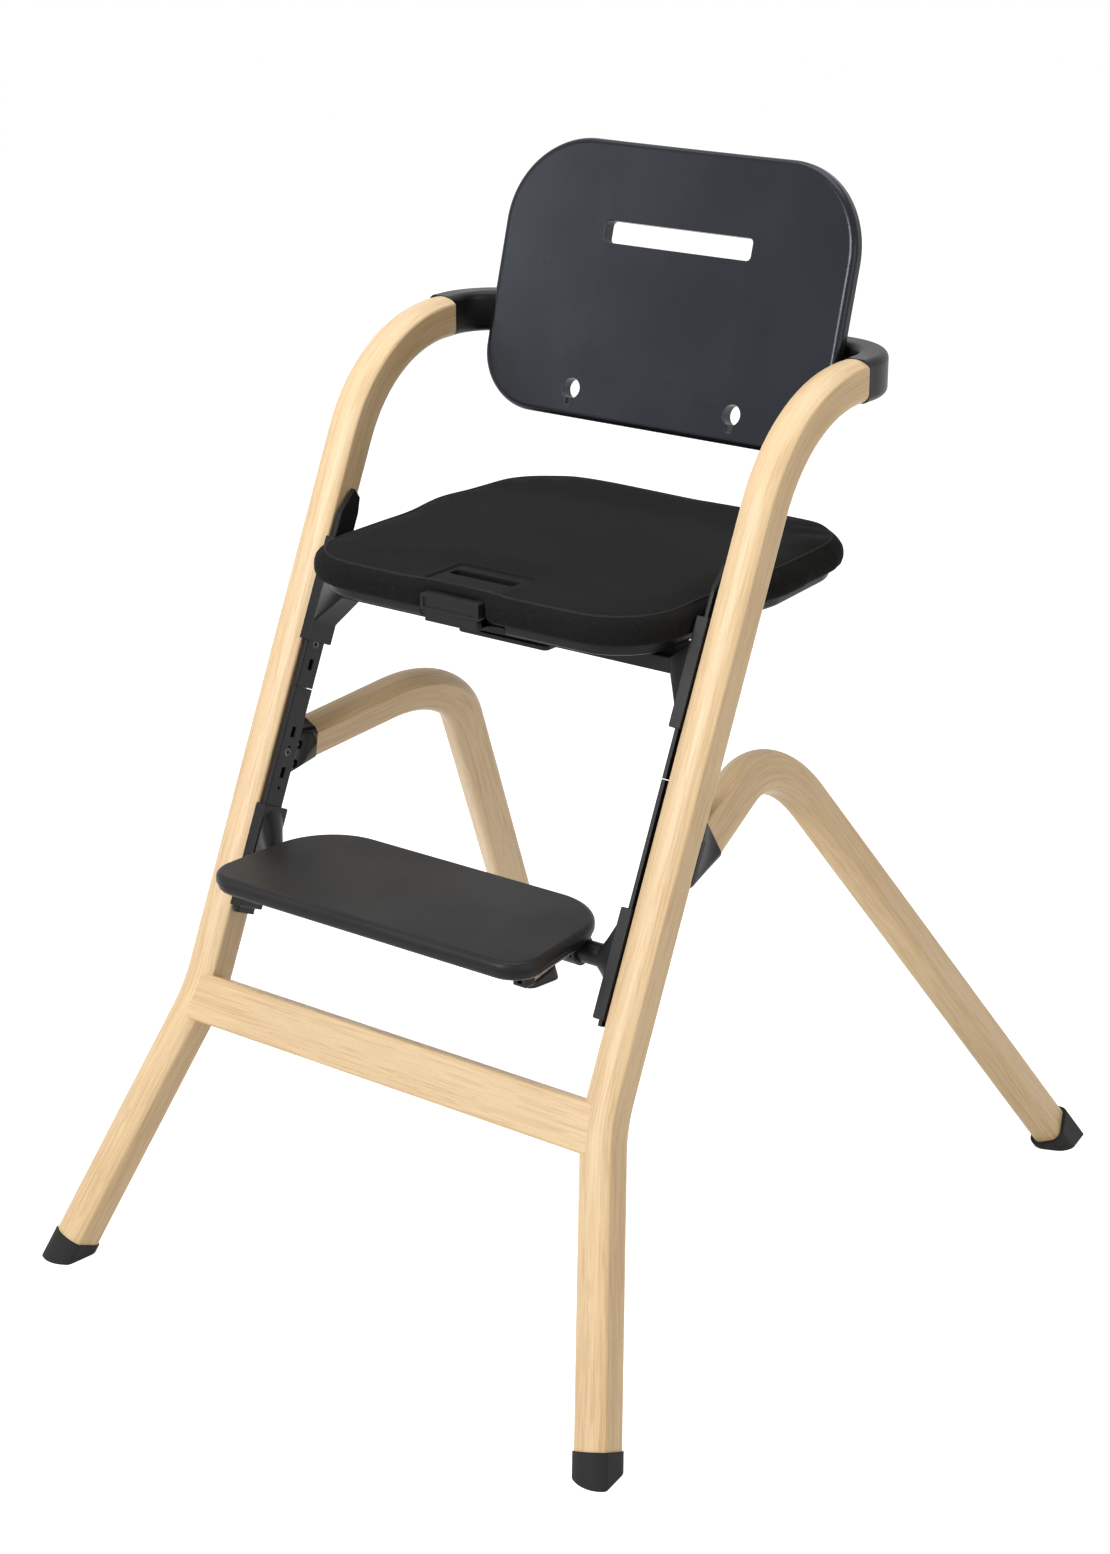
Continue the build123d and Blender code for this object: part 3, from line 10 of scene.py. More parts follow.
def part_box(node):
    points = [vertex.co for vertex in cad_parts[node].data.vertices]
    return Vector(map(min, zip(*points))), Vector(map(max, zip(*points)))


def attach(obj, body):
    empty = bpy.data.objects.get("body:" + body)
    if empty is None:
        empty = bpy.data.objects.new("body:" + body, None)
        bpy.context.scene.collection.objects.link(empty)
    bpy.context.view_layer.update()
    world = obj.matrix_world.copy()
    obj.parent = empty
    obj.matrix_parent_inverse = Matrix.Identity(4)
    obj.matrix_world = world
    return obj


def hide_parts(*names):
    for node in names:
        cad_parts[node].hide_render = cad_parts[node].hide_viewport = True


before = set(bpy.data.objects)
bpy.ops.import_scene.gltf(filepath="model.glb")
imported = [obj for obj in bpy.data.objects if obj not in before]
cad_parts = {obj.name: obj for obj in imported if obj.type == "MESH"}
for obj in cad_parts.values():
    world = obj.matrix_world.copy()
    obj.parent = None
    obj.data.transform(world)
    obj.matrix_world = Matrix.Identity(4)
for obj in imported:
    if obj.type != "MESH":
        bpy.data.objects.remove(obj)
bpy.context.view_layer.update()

# ---- Sizes of the frame, in metres and degrees --------------------------------------------
RAKE = math.radians(25)            # lean of the uprights
SIN, COS = math.sin(RAKE), math.cos(RAKE)
KNEE = Vector((0.200, -0.2334, 0.220))
KNEE_RADIUS = 0.150
FRONT_FOOT = Vector((0.270, -0.336, 0.0))
ARM_HEIGHT = 0.721
ARM_RADIUS = 0.130
REAR_START = Vector((0.2065, -0.1518, 0.395))
REAR_CROWN = Vector((0.160, 0.040, 0.431))
REAR_FOOT = Vector((0.291, 0.336, 0.0))
REAR_RADIUS = 0.095

# ---- Seat cover ---------------------------------------------------------------------------
VOXEL = 0.0045
CLOTH_FRAMES = 20
CLOTH_PRESSURE = 1.6
CLOTH_MASS = 0.3
CLOTH_STRETCH = 18.0
CLOTH_SHEAR = 8.0
CLOTH_BENDING = 3.0
HEM = 0.004                        # height of the lower rim that stays put
PLATE_CLEAR = 0.006                # so much round the strap plate stays put
PADDLE_HALF, PADDLE_DEPTH = 0.040, 0.020
PADDLE_TOP = 0.003                 # the paddle's place begins this far below the top
PAD_CAP = 0.0030                   # furthest that a point of it may swell
SMOOTH_ROUNDS = 7                  # evens out the puckers of the cloth run
PAD_RISE = 0.0028                  # extra fullness of the top towards the back
RISE_SLOPE = 2.5                   # how soon behind the strap plate it is reached
TOP_LAYER = 0.009                  # points this near the top are shaped round the plate
PLATE_RIM = 0.009                  # width of the soft rim round the strap plate
PLATE_GAP = 0.0004
TUCK = 0.0026                      # how far below the plate's top the cover is tucked
RIM_LIFT, RIM_SWELL = 0.0006, 0.0007
FLOOR_GAP = 0.0002
SEAM_POINTS = 420
SEAM_INSET = 0.0055
SEAM_RADIUS = 0.0012
SEAM_DROP = 0.0040                 # the outline that it follows is taken this far below the top
SEAM_EASE = 16                     # rounds of evening out
WEAVE = 0.0011                     # pitch of the cover fabric

# ---- Footrest -----------------------------------------------------------------------------
TREAD_EDGE = 0.0050                # the matte top ends this far down its rounded edge
RIM_BLEND = 0.0005

# ---- Colours, linear ----------------------------------------------------------------------
WOOD_LIGHT = (0.775, 0.580, 0.350, 1)
WOOD_DARK = (0.540, 0.345, 0.160, 1)
WOOD_PORE = (0.30, 0.18, 0.085, 1)
PLASTIC = (0.0060, 0.0062, 0.0072, 1)
BACK_PLASTIC = (0.0060, 0.0064, 0.0090, 1)
FOOT_PLASTIC = (0.0135, 0.0135, 0.0140, 1)
PLATE = (0.0080, 0.0080, 0.0085, 1)
RUBBER = (0.020, 0.020, 0.021, 1)
FABRIC = (0.0130, 0.0130, 0.0132, 1)
# lighter than the cover fabric: the piping's colour carries a painted highlight along the seam
PIPING_PAINTED_HIGHLIGHT = (0.0320, 0.0320, 0.0325, 1)
STEEL = (0.045, 0.045, 0.048, 1)      # black-oxide finish
STEEL_WORN = (0.10, 0.10, 0.105, 1)


# ---- Node helpers -------------------------------------------------------------------------
class Graph:
    """Short hand for building a material's node tree."""

    def __init__(self, name):
        self.material = bpy.data.materials.new(name)
        self.material.use_nodes = True
        self.tree = self.material.node_tree
        self.tree.nodes.clear()
        self.output = self.tree.nodes.new("ShaderNodeOutputMaterial")

    def add(self, kind, **settings):
        node = self.tree.nodes.new("ShaderNode" + kind)
        for key, value in settings.items():
            setattr(node, key, value)
        return node

    def link(self, source, target):
        self.tree.links.new(source, target)

    def put(self, socket, value):
        """Link a socket, or set a constant on it."""
        if isinstance(value, bpy.types.NodeSocket):
            self.link(value, socket)
        else:
            socket.default_value = value

    def math(self, operation, a, b=0.0, c=0.0):
        node = self.add("Math", operation=operation)
        for socket, value in zip(node.inputs, (a, b, c)):
            self.put(socket, value)
        return node.outputs[0]

    def dot(self, vector, constant):
        node = self.add("VectorMath", operation="DOT_PRODUCT")
        self.put(node.inputs[0], vector)
        node.inputs[1].default_value = constant
        return node.outputs["Value"]

    def shifted(self, vector, origin):
        node = self.add("VectorMath", operation="SUBTRACT")
        self.put(node.inputs[0], vector)
        node.inputs[1].default_value = origin
        return node.outputs[0]

    def combine(self, x, y, z):
        node = self.add("CombineXYZ")
        for socket, value in zip(node.inputs, (x, y, z)):
            self.put(socket, value)
        return node.outputs[0]

    def scaled(self, vector, scale):
        node = self.add("VectorMath", operation="MULTIPLY")
        self.put(node.inputs[0], vector)
        node.inputs[1].default_value = scale
        return node.outputs[0]

    def noise(self, vector, scale, detail=3.0, roughness=0.5, distortion=0.0):
        node = self.add("TexNoise")
        self.put(node.inputs["Vector"], vector)
        node.inputs["Scale"].default_value = scale
        node.inputs["Detail"].default_value = detail
        node.inputs["Roughness"].default_value = roughness
        node.inputs["Distortion"].default_value = distortion
        return node.outputs["Fac"]

    def ramp(self, value, low, high):
        """Clamped rescale of a value from low..high to 0..1, smoothed at both ends."""
        node = self.add("MapRange", interpolation_type="SMOOTHSTEP")
        self.put(node.inputs["Value"], value)
        node.inputs["From Min"].default_value = low
        node.inputs["From Max"].default_value = high
        return node.outputs[0]

    def mix(self, factor, a, b, blend="MIX"):
        node = self.add("Mix", data_type="RGBA", blend_type=blend)
        self.put(node.inputs[0], factor)
        self.put(node.inputs[6], a)
        self.put(node.inputs[7], b)
        return node.outputs[2]

    def blend_value(self, factor, a, b):
        node = self.add("Mix", data_type="FLOAT")
        self.put(node.inputs[0], factor)
        self.put(node.inputs[2], a)
        self.put(node.inputs[3], b)
        return node.outputs[0]

    def bump(self, height, strength, distance, normal=None):
        node = self.add("Bump")
        node.inputs["Strength"].default_value = strength
        node.inputs["Distance"].default_value = distance
        self.put(node.inputs["Height"], height)
        if normal is not None:
            self.put(node.inputs["Normal"], normal)
        return node.outputs[0]

    def flatness(self, rounded):
        """How far the rounded normal agrees with the true one: 1 on flats, less on edges."""
        node = self.add("VectorMath", operation="DOT_PRODUCT")
        self.link(rounded, node.inputs[0])
        self.link(self.add("NewGeometry").outputs["Normal"], node.inputs[1])
        return self.ramp(node.outputs["Value"], 0.80, 0.995)

    def position(self):
        return self.add("TexCoord").outputs["Object"]

    def finish(self, color, roughness, normal=None, **sockets):
        shader = self.add("BsdfPrincipled")
        self.put(shader.inputs["Base Color"], color)
        self.put(shader.inputs["Roughness"], roughness)
        for key, value in sockets.items():
            shader.inputs[key.replace("_", " ")].default_value = value
        if normal is not None:
            self.put(shader.inputs["Normal"], normal)
        self.link(shader.outputs[0], self.output.inputs[0])
        return self.material


# ---- Wood: the grain follows each bend ------------------------------------------------------
# scales, per metre, across the grain and along it
FIBRE_SCALE = (900.0, 26.0)
RING_SCALE = (120.0, 5.0)
CLOUD_SCALE = (20.0, 4.0)
PORE_SCALE = (2600.0, 210.0)
RING_TURNS = 34.0
VARNISH = {"Coat_Weight": 0.22, "Coat_Roughness": 0.42}
RING_SHARE, CLOUD_SHARE, FIBRE_SHARE, PORE_SHARE = 0.17, 0.50, 0.22, 0.36


def unrolled(graph, position, centre, radial, tangent, across, radius, sweep):
    """Coordinates along a bent bar: across it, out from its bend, and along its length.

    The bend lies in the plane of radial and tangent, starts at radial and turns by sweep."""
    local = graph.shifted(position, centre)
    out, ahead = graph.dot(local, radial), graph.dot(local, tangent)
    angle = graph.math("ARCTAN2", ahead, out)
    held = graph.math("MINIMUM", graph.math("MAXIMUM", angle, 0.0), sweep)
    cosine, sine = graph.math("COSINE", held), graph.math("SINE", held)
    outward = graph.math("ADD", graph.math("MULTIPLY", out, cosine),
                         graph.math("MULTIPLY", ahead, sine))
    forward = graph.math("SUBTRACT", graph.math("MULTIPLY", ahead, cosine),
                         graph.math("MULTIPLY", out, sine))
    along = graph.math("ADD", forward, graph.math("MULTIPLY", held, radius))
    return graph.dot(local, across), graph.math("SUBTRACT", outward, radius), along


def bend_frame(start, corner, end, radius):
    """Centre, radial and tangent directions, and sweep of the arc that rounds a corner."""
    first, second = (corner - start).normalized(), (end - corner).normalized()
    sweep = first.angle(second)
    normal = first.cross(second).normalized()
    inward = normal.cross(first)
    begin = corner - first * radius * math.tan(sweep / 2)
    return begin + inward * radius, -inward, first, normal, sweep, begin


def stretched(graph, across, out, along, fine, coarse):
    """Coordinates with a fine scale across the grain and a coarse one along it."""
    return graph.combine(graph.math("MULTIPLY", across, fine), graph.math("MULTIPLY", out, fine),
                         graph.math("MULTIPLY", along, coarse))


def grain(graph, across, out, along, seed):
    """Wood colour, roughness and bump from coordinates that follow the grain."""
    shift = graph.add("VectorMath", operation="ADD")
    graph.put(shift.inputs[0], stretched(graph, across, out, along, *FIBRE_SCALE))
    shift.inputs[1].default_value = (seed * 3.7, seed * 5.1, seed * 11.3)
    fibres = graph.noise(shift.outputs[0], 1.0, 4.0, 0.6)
    waves = graph.noise(stretched(graph, across, out, along, *RING_SCALE), 1.0, 3.0, 0.55, 0.6)
    rings = graph.ramp(graph.math("SINE", graph.math("MULTIPLY", waves, RING_TURNS)), 0.0, 1.0)
    cloud = graph.noise(stretched(graph, across, out, along, *CLOUD_SCALE), 1.0, 2.0, 0.5)
    tone = graph.math("ADD", graph.math("MULTIPLY", rings, RING_SHARE),
                      graph.math("MULTIPLY", cloud, CLOUD_SHARE))
    tone = graph.math("ADD", tone,
                      graph.math("MULTIPLY", graph.ramp(fibres, 0.35, 0.7), FIBRE_SHARE))
    base = graph.mix(graph.ramp(tone, 0.10, 0.95), WOOD_LIGHT, WOOD_DARK)
    flecks = stretched(graph, across, out, along, *PORE_SCALE)
    pores = graph.ramp(graph.noise(flecks, 1.0, 1.0, 0.5), 0.66, 0.76)
    color = graph.mix(graph.math("MULTIPLY", pores, PORE_SHARE), base, WOOD_PORE)
    height = graph.math("SUBTRACT", graph.math("MULTIPLY", fibres, 0.5), pores)
    rough = graph.blend_value(fibres, 0.42, 0.56)
    return color, rough, graph.bump(height, 0.12, 0.0004)


def mirrored(vector, side):
    """A direction or place on the left (side -1) or right (side 1) half."""
    return Vector((vector.x * side, vector.y, vector.z))


def bent_coordinates(graph, position, start, corner, end, radius, side):
    points = [mirrored(point, side) for point in (start, corner, end)]
    centre, radial, tangent, normal, sweep, begin = bend_frame(*points, radius)
    across, out, along = unrolled(graph, position, centre, radial, tangent, normal, radius, sweep)
    return across, out, along, begin


def front_leg_wood(side):
    graph = Graph("wood_front_leg_" + ("right" if side > 0 else "left"))
    position = graph.position()
    rise = Vector((0, SIN, COS))
    arm_corner = KNEE + rise * ((ARM_HEIGHT - KNEE.z) / COS)
    arm_end = arm_corner + Vector((0, 0.1, 0))
    lower = bent_coordinates(graph, position, FRONT_FOOT, KNEE, arm_corner, KNEE_RADIUS, side)
    upper = bent_coordinates(graph, position, KNEE, arm_corner, arm_end, ARM_RADIUS, side)
    # where both unrollings run straight along the upright, the upper one takes over
    height = graph.dot(position, (0, 0, 1))
    swap = graph.math("GREATER_THAN", height, (KNEE.z + ARM_HEIGHT) / 2)
    sweep = rise.angle(KNEE - FRONT_FOOT)
    knee_end = mirrored(KNEE, side) + rise * KNEE_RADIUS * math.tan(sweep / 2)
    offset = KNEE_RADIUS * sweep + (upper[3] - knee_end).length
    across = graph.blend_value(swap, graph.math("MULTIPLY", lower[1], side), upper[0])
    out = graph.blend_value(swap, graph.math("MULTIPLY", lower[0], -side), upper[1])
    along = graph.blend_value(swap, lower[2], graph.math("ADD", upper[2], offset))
    color, rough, normal = grain(graph, across, out, along, 1.0 + side)
    return graph.finish(color, rough, normal, **VARNISH)


def rear_leg_wood(side):
    graph = Graph("wood_rear_leg_" + ("right" if side > 0 else "left"))
    across, out, along = bent_coordinates(
        graph, graph.position(), REAR_START, REAR_CROWN, REAR_FOOT, REAR_RADIUS, side)[:3]
    color, rough, normal = grain(graph, across, out, along, 5.0 + side)
    return graph.finish(color, rough, normal, **VARNISH)


def crossbar_wood():
    graph = Graph("wood_crossbar")
    position = graph.position()
    across = graph.dot(position, (0, COS, -SIN))
    up = graph.dot(position, (0, SIN, COS))
    along = graph.dot(position, (1, 0, 0))
    color, rough, normal = grain(graph, across, up, along, 9.0)
    return graph.finish(color, rough, normal, **VARNISH)


# ---- Plastics, rubber, steel, fabric --------------------------------------------------------
def moulded(name, color, rough, grain_size, depth, gloss=0.3, coat=0.0, edge=0.0012,
            uneven=0.05, sheen=(1, 1, 1, 1), rim=None):
    """Spark-eroded moulded plastic: fine even grain, faint flow clouds, paler worn edges.

    Below the height rim, if given, it has the colour of the other mouldings."""
    graph = Graph(name)
    position = graph.position()
    grains = graph.noise(position, 1 / grain_size, 2.0, 0.6)
    clouds = graph.noise(position, 14.0, 3.0, 0.5)
    scuffs = graph.noise(graph.scaled(position, (60.0, 260.0, 110.0)), 1.0, 4.0, 0.6)
    bevel = graph.add("Bevel", samples=4)
    bevel.inputs["Radius"].default_value = edge
    worn = graph.math("SUBTRACT", 1.0, graph.flatness(bevel.outputs[0]))
    pale = tuple(min(1.0, c * 1.7 + 0.004) for c in color[:3]) + (1,)
    tint = graph.mix(graph.math("MULTIPLY", graph.ramp(clouds, 0.3, 0.75), 0.25), color, pale)
    tint = graph.mix(graph.math("MULTIPLY", worn, 0.5), tint, pale)
    if rim is not None:
        above = graph.ramp(graph.dot(position, (0, 0, 1)), rim - RIM_BLEND, rim + RIM_BLEND)
        tint = graph.mix(above, PLASTIC, tint)
    base = graph.blend_value(graph.ramp(clouds, 0.3, 0.7), rough - uneven, rough + uneven)
    scuffed = graph.math("MULTIPLY", graph.ramp(scuffs, 0.62, 0.78), 0.06)
    roughness = graph.math("SUBTRACT", base, scuffed)
    normal = graph.bump(grains, 0.35, depth, bevel.outputs[0])
    return graph.finish(tint, roughness, normal, Specular_IOR_Level=gloss, Specular_Tint=sheen,
                        Coat_Weight=coat, Coat_Roughness=0.4)


def steel():
    graph = Graph("steel_screws")
    position = graph.position()
    brushed = graph.noise(graph.scaled(position, (900.0, 900.0, 900.0)), 1.0, 3.0, 0.6)
    spots = graph.noise(position, 240.0, 2.0, 0.5)
    color = graph.mix(graph.ramp(spots, 0.4, 0.7), STEEL, STEEL_WORN)
    rough = graph.blend_value(brushed, 0.28, 0.42)
    return graph.finish(color, rough, graph.bump(brushed, 0.1, 0.0001), Metallic=1.0)


def woven(name, color, pitch):
    """Plain-weave cover fabric: crossing yarns, small slubs and a soft sheen."""
    graph = Graph(name)
    position = graph.position()
    x = graph.math("MULTIPLY", graph.dot(position, (1, 0, 0)), math.pi / pitch)
    y = graph.math("MULTIPLY", graph.dot(position, (0, 1, 0.35)), math.pi / pitch)
    z = graph.math("MULTIPLY", graph.dot(position, (0, -0.3, 1)), math.pi / pitch)
    warp = graph.math("ABSOLUTE", graph.math("SINE", x))
    weft = graph.math("ABSOLUTE", graph.math("SINE", graph.math("ADD", y, z)))
    weave = graph.math("MULTIPLY", warp, weft)
    slubs = graph.noise(graph.scaled(position, (160.0, 900.0, 500.0)), 1.0, 3.0, 0.6)
    worn = graph.noise(position, 9.0, 4.0, 0.55)
    lint = graph.ramp(graph.noise(position, 1400.0, 1.0, 0.5), 0.72, 0.80)
    dark = tuple(c * 0.66 for c in color[:3]) + (1,)
    pale = tuple(min(1.0, c * 1.5) for c in color[:3]) + (1,)
    tint = graph.mix(graph.ramp(weave, 0.1, 0.7), dark, color)
    tint = graph.mix(graph.math("MULTIPLY", graph.ramp(slubs, 0.45, 0.75), 0.6), tint, pale)
    tint = graph.mix(graph.math("MULTIPLY", graph.ramp(worn, 0.4, 0.8), 0.25), tint, pale)
    tint = graph.mix(graph.math("MULTIPLY", lint, 0.30), tint, (0.10, 0.10, 0.10, 1))
    height = graph.math("ADD", graph.math("MULTIPLY", weave, 0.7),
                        graph.math("MULTIPLY", slubs, 0.3))
    normal = graph.bump(height, 0.45, 0.00035)
    return graph.finish(tint, 0.92, normal, Specular_IOR_Level=0.04,
                        Sheen_Weight=0.02, Sheen_Roughness=0.5)


def dress(names, material):
    for name in names:
        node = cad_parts[name]
        node.data.materials.clear()
        node.data.materials.append(material)


def dress_nodes():
    """Finish for every CAD node."""
    for side, end in ((1, "_right"), (-1, "_left")):
        dress(["front_leg" + end], front_leg_wood(side))
        dress(["rear_leg" + end], rear_leg_wood(side))
    dress(["front_crossbar", "crossbar_dowels"], crossbar_wood())
    back = moulded("plastic_backrest", BACK_PLASTIC, 0.25, 0.0004, 0.00003, gloss=0.32, coat=0.0,
                   uneven=0.012, sheen=(0.80, 0.88, 1.0, 1))
    fine = moulded("plastic_moulded", PLASTIC, 0.38, 0.0005, 0.00008, gloss=0.22)
    tread = moulded("plastic_footrest", FOOT_PLASTIC, 0.42, 0.0006, 0.00010, gloss=0.18,
                    rim=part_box("footrest_tread")[1].z - TREAD_EDGE)
    rubber = moulded("rubber_caps", RUBBER, 0.66, 0.0007, 0.00015, gloss=0.14)
    plate = moulded("plastic_strap_plate", PLATE, 0.62, 0.0006, 0.00012, gloss=0.06)
    metal = steel()
    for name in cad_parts:
        if name.startswith("backrest_") and "shell" in name:
            dress([name], back)
        elif "foot_cap" in name:
            dress([name], rubber)
        elif name == "strap_bezel":
            dress([name], plate)
        elif "screws" in name or "bolts" in name or "springs" in name:
            dress([name], metal)
        elif name == "footrest_tread":
            dress([name], tread)
        elif not name.startswith(("front_leg", "front_crossbar", "crossbar")) and not (
                name.startswith("rear_leg_") and "socket" not in name):
            dress([name], fine)


# ---- Padded seat ----------------------------------------------------------------------------
def applied(piece):
    """Apply a piece's modifiers to its mesh."""
    graph = bpy.context.evaluated_depsgraph_get()
    mesh = bpy.data.meshes.new_from_object(piece.evaluated_get(graph))
    piece.modifiers.clear()
    old, piece.data = piece.data, mesh
    bpy.data.meshes.remove(old)


def clamped(value):
    """A value kept between 0 and 1."""
    return min(1.0, max(0.0, value))


def smooth(piece):
    for polygon in piece.data.polygons:
        polygon.use_smooth = True


def swollen(pad, still, cap):
    """Blow a remeshed pad up a little with Cloth; still(point) tells what stays put."""
    group = pad.vertex_groups.new(name="still")
    group.add([v.index for v in pad.data.vertices if still(v.co)], 1.0, "REPLACE")
    before = [v.co.copy() for v in pad.data.vertices]
    cloth = pad.modifiers.new("cloth", "CLOTH")
    settings = cloth.settings
    settings.vertex_group_mass = "still"
    settings.use_pressure = True
    settings.uniform_pressure_force = CLOTH_PRESSURE
    settings.mass = CLOTH_MASS
    settings.tension_stiffness = settings.compression_stiffness = CLOTH_STRETCH
    settings.shear_stiffness = CLOTH_SHEAR
    settings.bending_stiffness = CLOTH_BENDING
    settings.effector_weights.gravity = 0.0
    cloth.point_cache.frame_start, cloth.point_cache.frame_end = 1, CLOTH_FRAMES
    scene = bpy.context.scene
    scene.frame_start, scene.frame_end = 1, CLOTH_FRAMES
    for step in range(1, CLOTH_FRAMES + 1):
        scene.frame_set(step)
    applied(pad)
    scene.frame_set(1)
    for vertex, start in zip(pad.data.vertices, before):
        move = vertex.co - start
        if move.length > cap:
            vertex.co = start + move * (cap / move.length)


def seat_cover():
    """Padded cover over the seat, swollen from its CAD solid by a short cloth run."""
    pad = bpy.data.objects.new("seat_cover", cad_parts["seat_pad"].data.copy())
    bpy.context.scene.collection.objects.link(pad)
    low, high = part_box("seat_pad")
    plate_low, plate_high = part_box("strap_bezel")
    remesh = pad.modifiers.new("remesh", "REMESH")
    remesh.mode, remesh.voxel_size = "VOXEL", VOXEL
    applied(pad)

    def still(point):
        near_plate = (abs(point.x) < plate_high.x + PLATE_CLEAR
                      and plate_low.y - PLATE_CLEAR < point.y < plate_high.y + PLATE_CLEAR)
        near_paddle = (abs(point.x) < PADDLE_HALF and point.y < low.y + PADDLE_DEPTH
                       and point.z < high.z - PADDLE_TOP)
        return point.z < low.z + HEM or near_plate or near_paddle

    swollen(pad, still, PAD_CAP)
    ease = pad.modifiers.new("ease", "SMOOTH")
    ease.factor, ease.iterations = 0.5, SMOOTH_ROUNDS
    divide = pad.modifiers.new("divide", "SUBSURF")
    divide.levels = divide.render_levels = 1
    applied(pad)
    for vertex in pad.data.vertices:
        share = (vertex.co.y - plate_high.y) / (high.y - plate_high.y)
        height = (vertex.co.z - low.z) / (high.z - low.z)
        vertex.co.z += PAD_RISE * clamped(RISE_SLOPE * share) * clamped(height)
        settle(vertex.co, low, high, plate_low, plate_high)
    smooth(pad)
    pad.data.materials.clear()
    pad.data.materials.append(woven("fabric_seat_cover", FABRIC, WEAVE))
    return pad


def settle(point, low, high, plate_low, plate_high):
    """Tuck a point of the cover under the strap plate, or lift it to a soft rim beside it."""
    point.z = max(point.z, low.z + FLOOR_GAP)
    out = max(abs(point.x) - plate_high.x, point.y - plate_high.y, plate_low.y - point.y)
    if point.z < high.z - TOP_LAYER or out > PLATE_RIM:
        return
    if out < PLATE_GAP:
        point.z = min(point.z, plate_high.z - TUCK)
    else:
        rim = plate_high.z + RIM_LIFT + RIM_SWELL * math.sin(math.pi * min(1.0, out / PLATE_RIM))
        share = 0.5 - 0.5 * math.cos(math.pi * (1.0 - out / PLATE_RIM))
        point.z += (rim - point.z) * share


def seam(cover):
    """Piped seam between the cover's top panel and its side band, laid on the swollen mesh."""
    low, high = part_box("seat_pad")
    tree = BVHTree.FromObject(cover, bpy.context.evaluated_depsgraph_get())
    middle = (low + high) / 2
    middle.z = high.z - SEAM_DROP
    edge = []
    for step in range(SEAM_POINTS):
        turn = 2 * math.pi * step / SEAM_POINTS
        aim = Vector((math.cos(turn), math.sin(turn), 0))
        hit = tree.ray_cast(middle + aim * 0.5, -aim)[0]
        edge.append(hit)
    path = []
    for step, here in enumerate(edge):
        ahead = edge[(step + 2) % SEAM_POINTS] - edge[step - 2]
        inward = Vector((-ahead.y, ahead.x, 0)).normalized()
        above = here + inward * SEAM_INSET
        above.z = high.z + 0.05
        path.append(tree.ray_cast(above, Vector((0, 0, -1)))[0])
    for _ in range(SEAM_EASE):
        path = [(path[i - 1] + path[i] * 2 + path[(i + 1) % SEAM_POINTS]) / 4
                for i in range(SEAM_POINTS)]
    curve = bpy.data.curves.new("seat_seam", "CURVE")
    curve.dimensions = "3D"
    curve.bevel_depth = SEAM_RADIUS
    curve.bevel_resolution = 3
    spline = curve.splines.new("POLY")
    spline.points.add(SEAM_POINTS - 1)
    for point, place in zip(spline.points, path):
        point.co = (*place, 1)
    spline.use_cyclic_u = True
    piping = bpy.data.objects.new("seat_seam", curve)
    bpy.context.scene.collection.objects.link(piping)
    # the piping's lighter colour is a painted highlight along the seam
    curve.materials.append(woven("fabric_seat_piping", PIPING_PAINTED_HIGHLIGHT, WEAVE))
    return piping


# ---- Stage ----------------------------------------------------------------------------------
EYE = (1.3507, -1.8409, 1.2348)
VIEW_TURN, VIEW_DOWN = 36.64, 20.52   # degrees round from the front, and down
LENS = 69.16
AMBIENT = 0.30                        # strength of the light from all round
FLOOR_GLOW = 0.88                     # only for rays that see the floor directly


def seen_directly(tree):
    """1 for rays from the camera, in reflections or through clear things, otherwise 0."""
    path = tree.nodes.new("ShaderNodeLightPath")
    total = path.outputs["Is Camera Ray"]
    for name in ("Is Glossy Ray", "Is Transmission Ray"):
        either = tree.nodes.new("ShaderNodeMath")
        either.operation = "MAXIMUM"
        tree.links.new(total, either.inputs[0])
        tree.links.new(path.outputs[name], either.inputs[1])
        total = either.outputs[0]
    return total


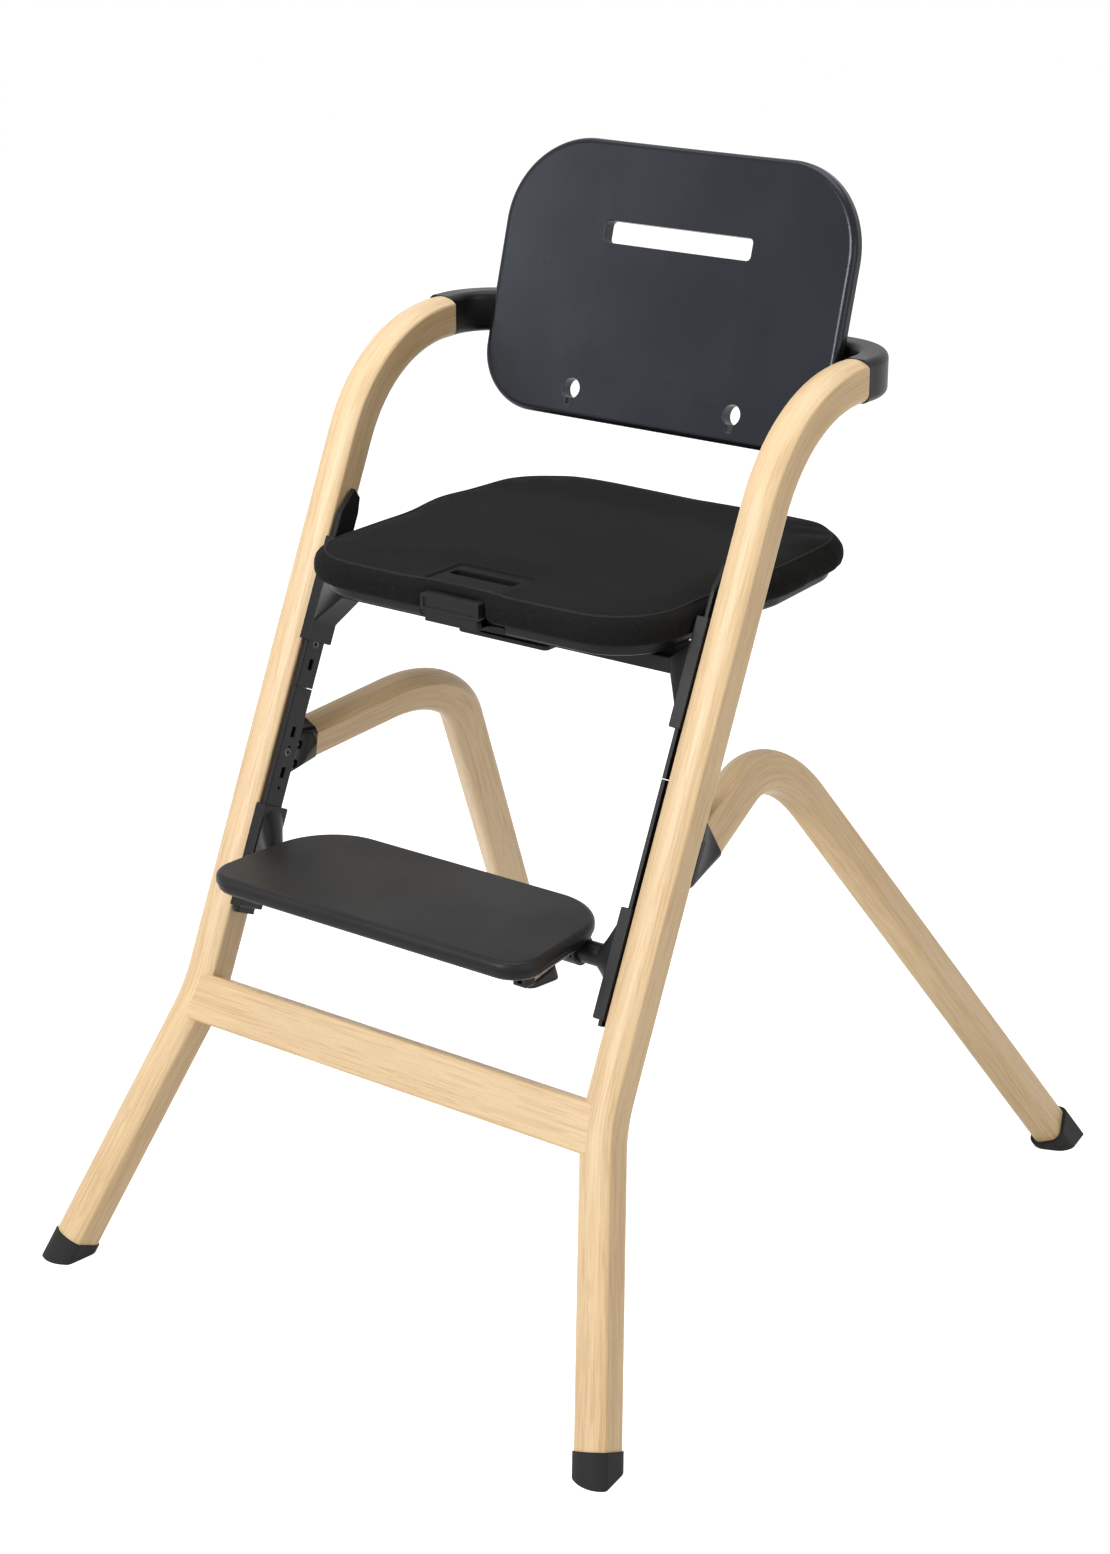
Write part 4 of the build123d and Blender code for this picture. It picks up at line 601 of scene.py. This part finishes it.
def stage():
    """White floor with a soft shadow, and white surroundings."""
    world = bpy.data.worlds.new("studio")
    bpy.context.scene.world = world
    world.use_nodes = True
    tree = world.node_tree
    tree.nodes.clear()
    output = tree.nodes.new("ShaderNodeOutputWorld")
    ambient = tree.nodes.new("ShaderNodeBackground")
    backdrop = tree.nodes.new("ShaderNodeBackground")
    ambient.inputs[0].default_value = (1.0, 0.96, 0.90, 1)
    ambient.inputs[1].default_value = AMBIENT
    backdrop.inputs[0].default_value = (1, 1, 1, 1)
    backdrop.inputs[1].default_value = 1.0
    mix = tree.nodes.new("ShaderNodeMixShader")
    tree.links.new(seen_directly(tree), mix.inputs[0])
    tree.links.new(ambient.outputs[0], mix.inputs[1])
    tree.links.new(backdrop.outputs[0], mix.inputs[2])
    tree.links.new(mix.outputs[0], output.inputs[0])

    bpy.ops.mesh.primitive_circle_add(vertices=96, radius=6.0, fill_type="NGON")
    floor = bpy.context.object
    floor.name = "studio_floor"
    graph = Graph("floor_paper")
    paper = graph.noise(graph.position(), 300.0, 3.0, 0.6)
    tone = graph.mix(graph.ramp(paper, 0.3, 0.7), (0.66, 0.66, 0.66, 1), (0.70, 0.70, 0.70, 1))
    shadow = graph.add("BsdfDiffuse")
    graph.link(tone, shadow.inputs[0])
    glow = graph.add("Emission")
    glow.inputs[0].default_value = (1, 1, 1, 1)
    glow.inputs[1].default_value = FLOOR_GLOW
    both = graph.add("AddShader")
    graph.link(shadow.outputs[0], both.inputs[0])
    graph.link(glow.outputs[0], both.inputs[1])
    seen = graph.add("MixShader")
    graph.link(seen_directly(graph.tree), seen.inputs[0])
    graph.link(shadow.outputs[0], seen.inputs[1])
    graph.link(both.outputs[0], seen.inputs[2])
    graph.link(seen.outputs[0], graph.output.inputs[0])
    floor.data.materials.append(graph.material)


def softbox(name, place, aim, size, power, tint=(1, 1, 1), spread=180):
    data = bpy.data.lights.new(name, "AREA")
    data.shape = "RECTANGLE"
    data.size, data.size_y = size
    data.energy = power
    data.color = tint
    data.spread = math.radians(spread)
    lamp = bpy.data.objects.new(name, data)
    bpy.context.scene.collection.objects.link(lamp)
    lamp.location = place
    lamp.rotation_euler = (Vector(aim) - Vector(place)).to_track_quat("-Z", "Y").to_euler()


def lights():
    middle, upper = (0, 0, 0.45), (0, 0, 0.80)
    softbox("key", (-0.6, -2.6, 1.85), upper, (1.0, 1.0), 27, (1.0, 0.99, 0.98), spread=115)
    softbox("fill", (2.6, -0.6, 1.3), middle, (1.4, 1.8), 15, (1.0, 0.92, 0.77))
    softbox("top", (-0.2, 0.2, 2.8), middle, (1.8, 1.6), 26)


def camera():
    data = bpy.data.cameras.new("camera")
    data.lens = LENS
    data.sensor_width = 36.0
    data.sensor_fit = "AUTO"
    eye = bpy.data.objects.new("camera", data)
    bpy.context.scene.collection.objects.link(eye)
    eye.location = EYE
    eye.rotation_euler = (math.radians(90 - VIEW_DOWN), 0, math.radians(VIEW_TURN))
    bpy.context.scene.camera = eye


dress_nodes()
cover = seat_cover()
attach(cover, "seat")
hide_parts("seat_pad")
piping = seam(cover)
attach(piping, "seat")
stage()
lights()
camera()
bpy.context.scene.view_settings.view_transform = "Standard"
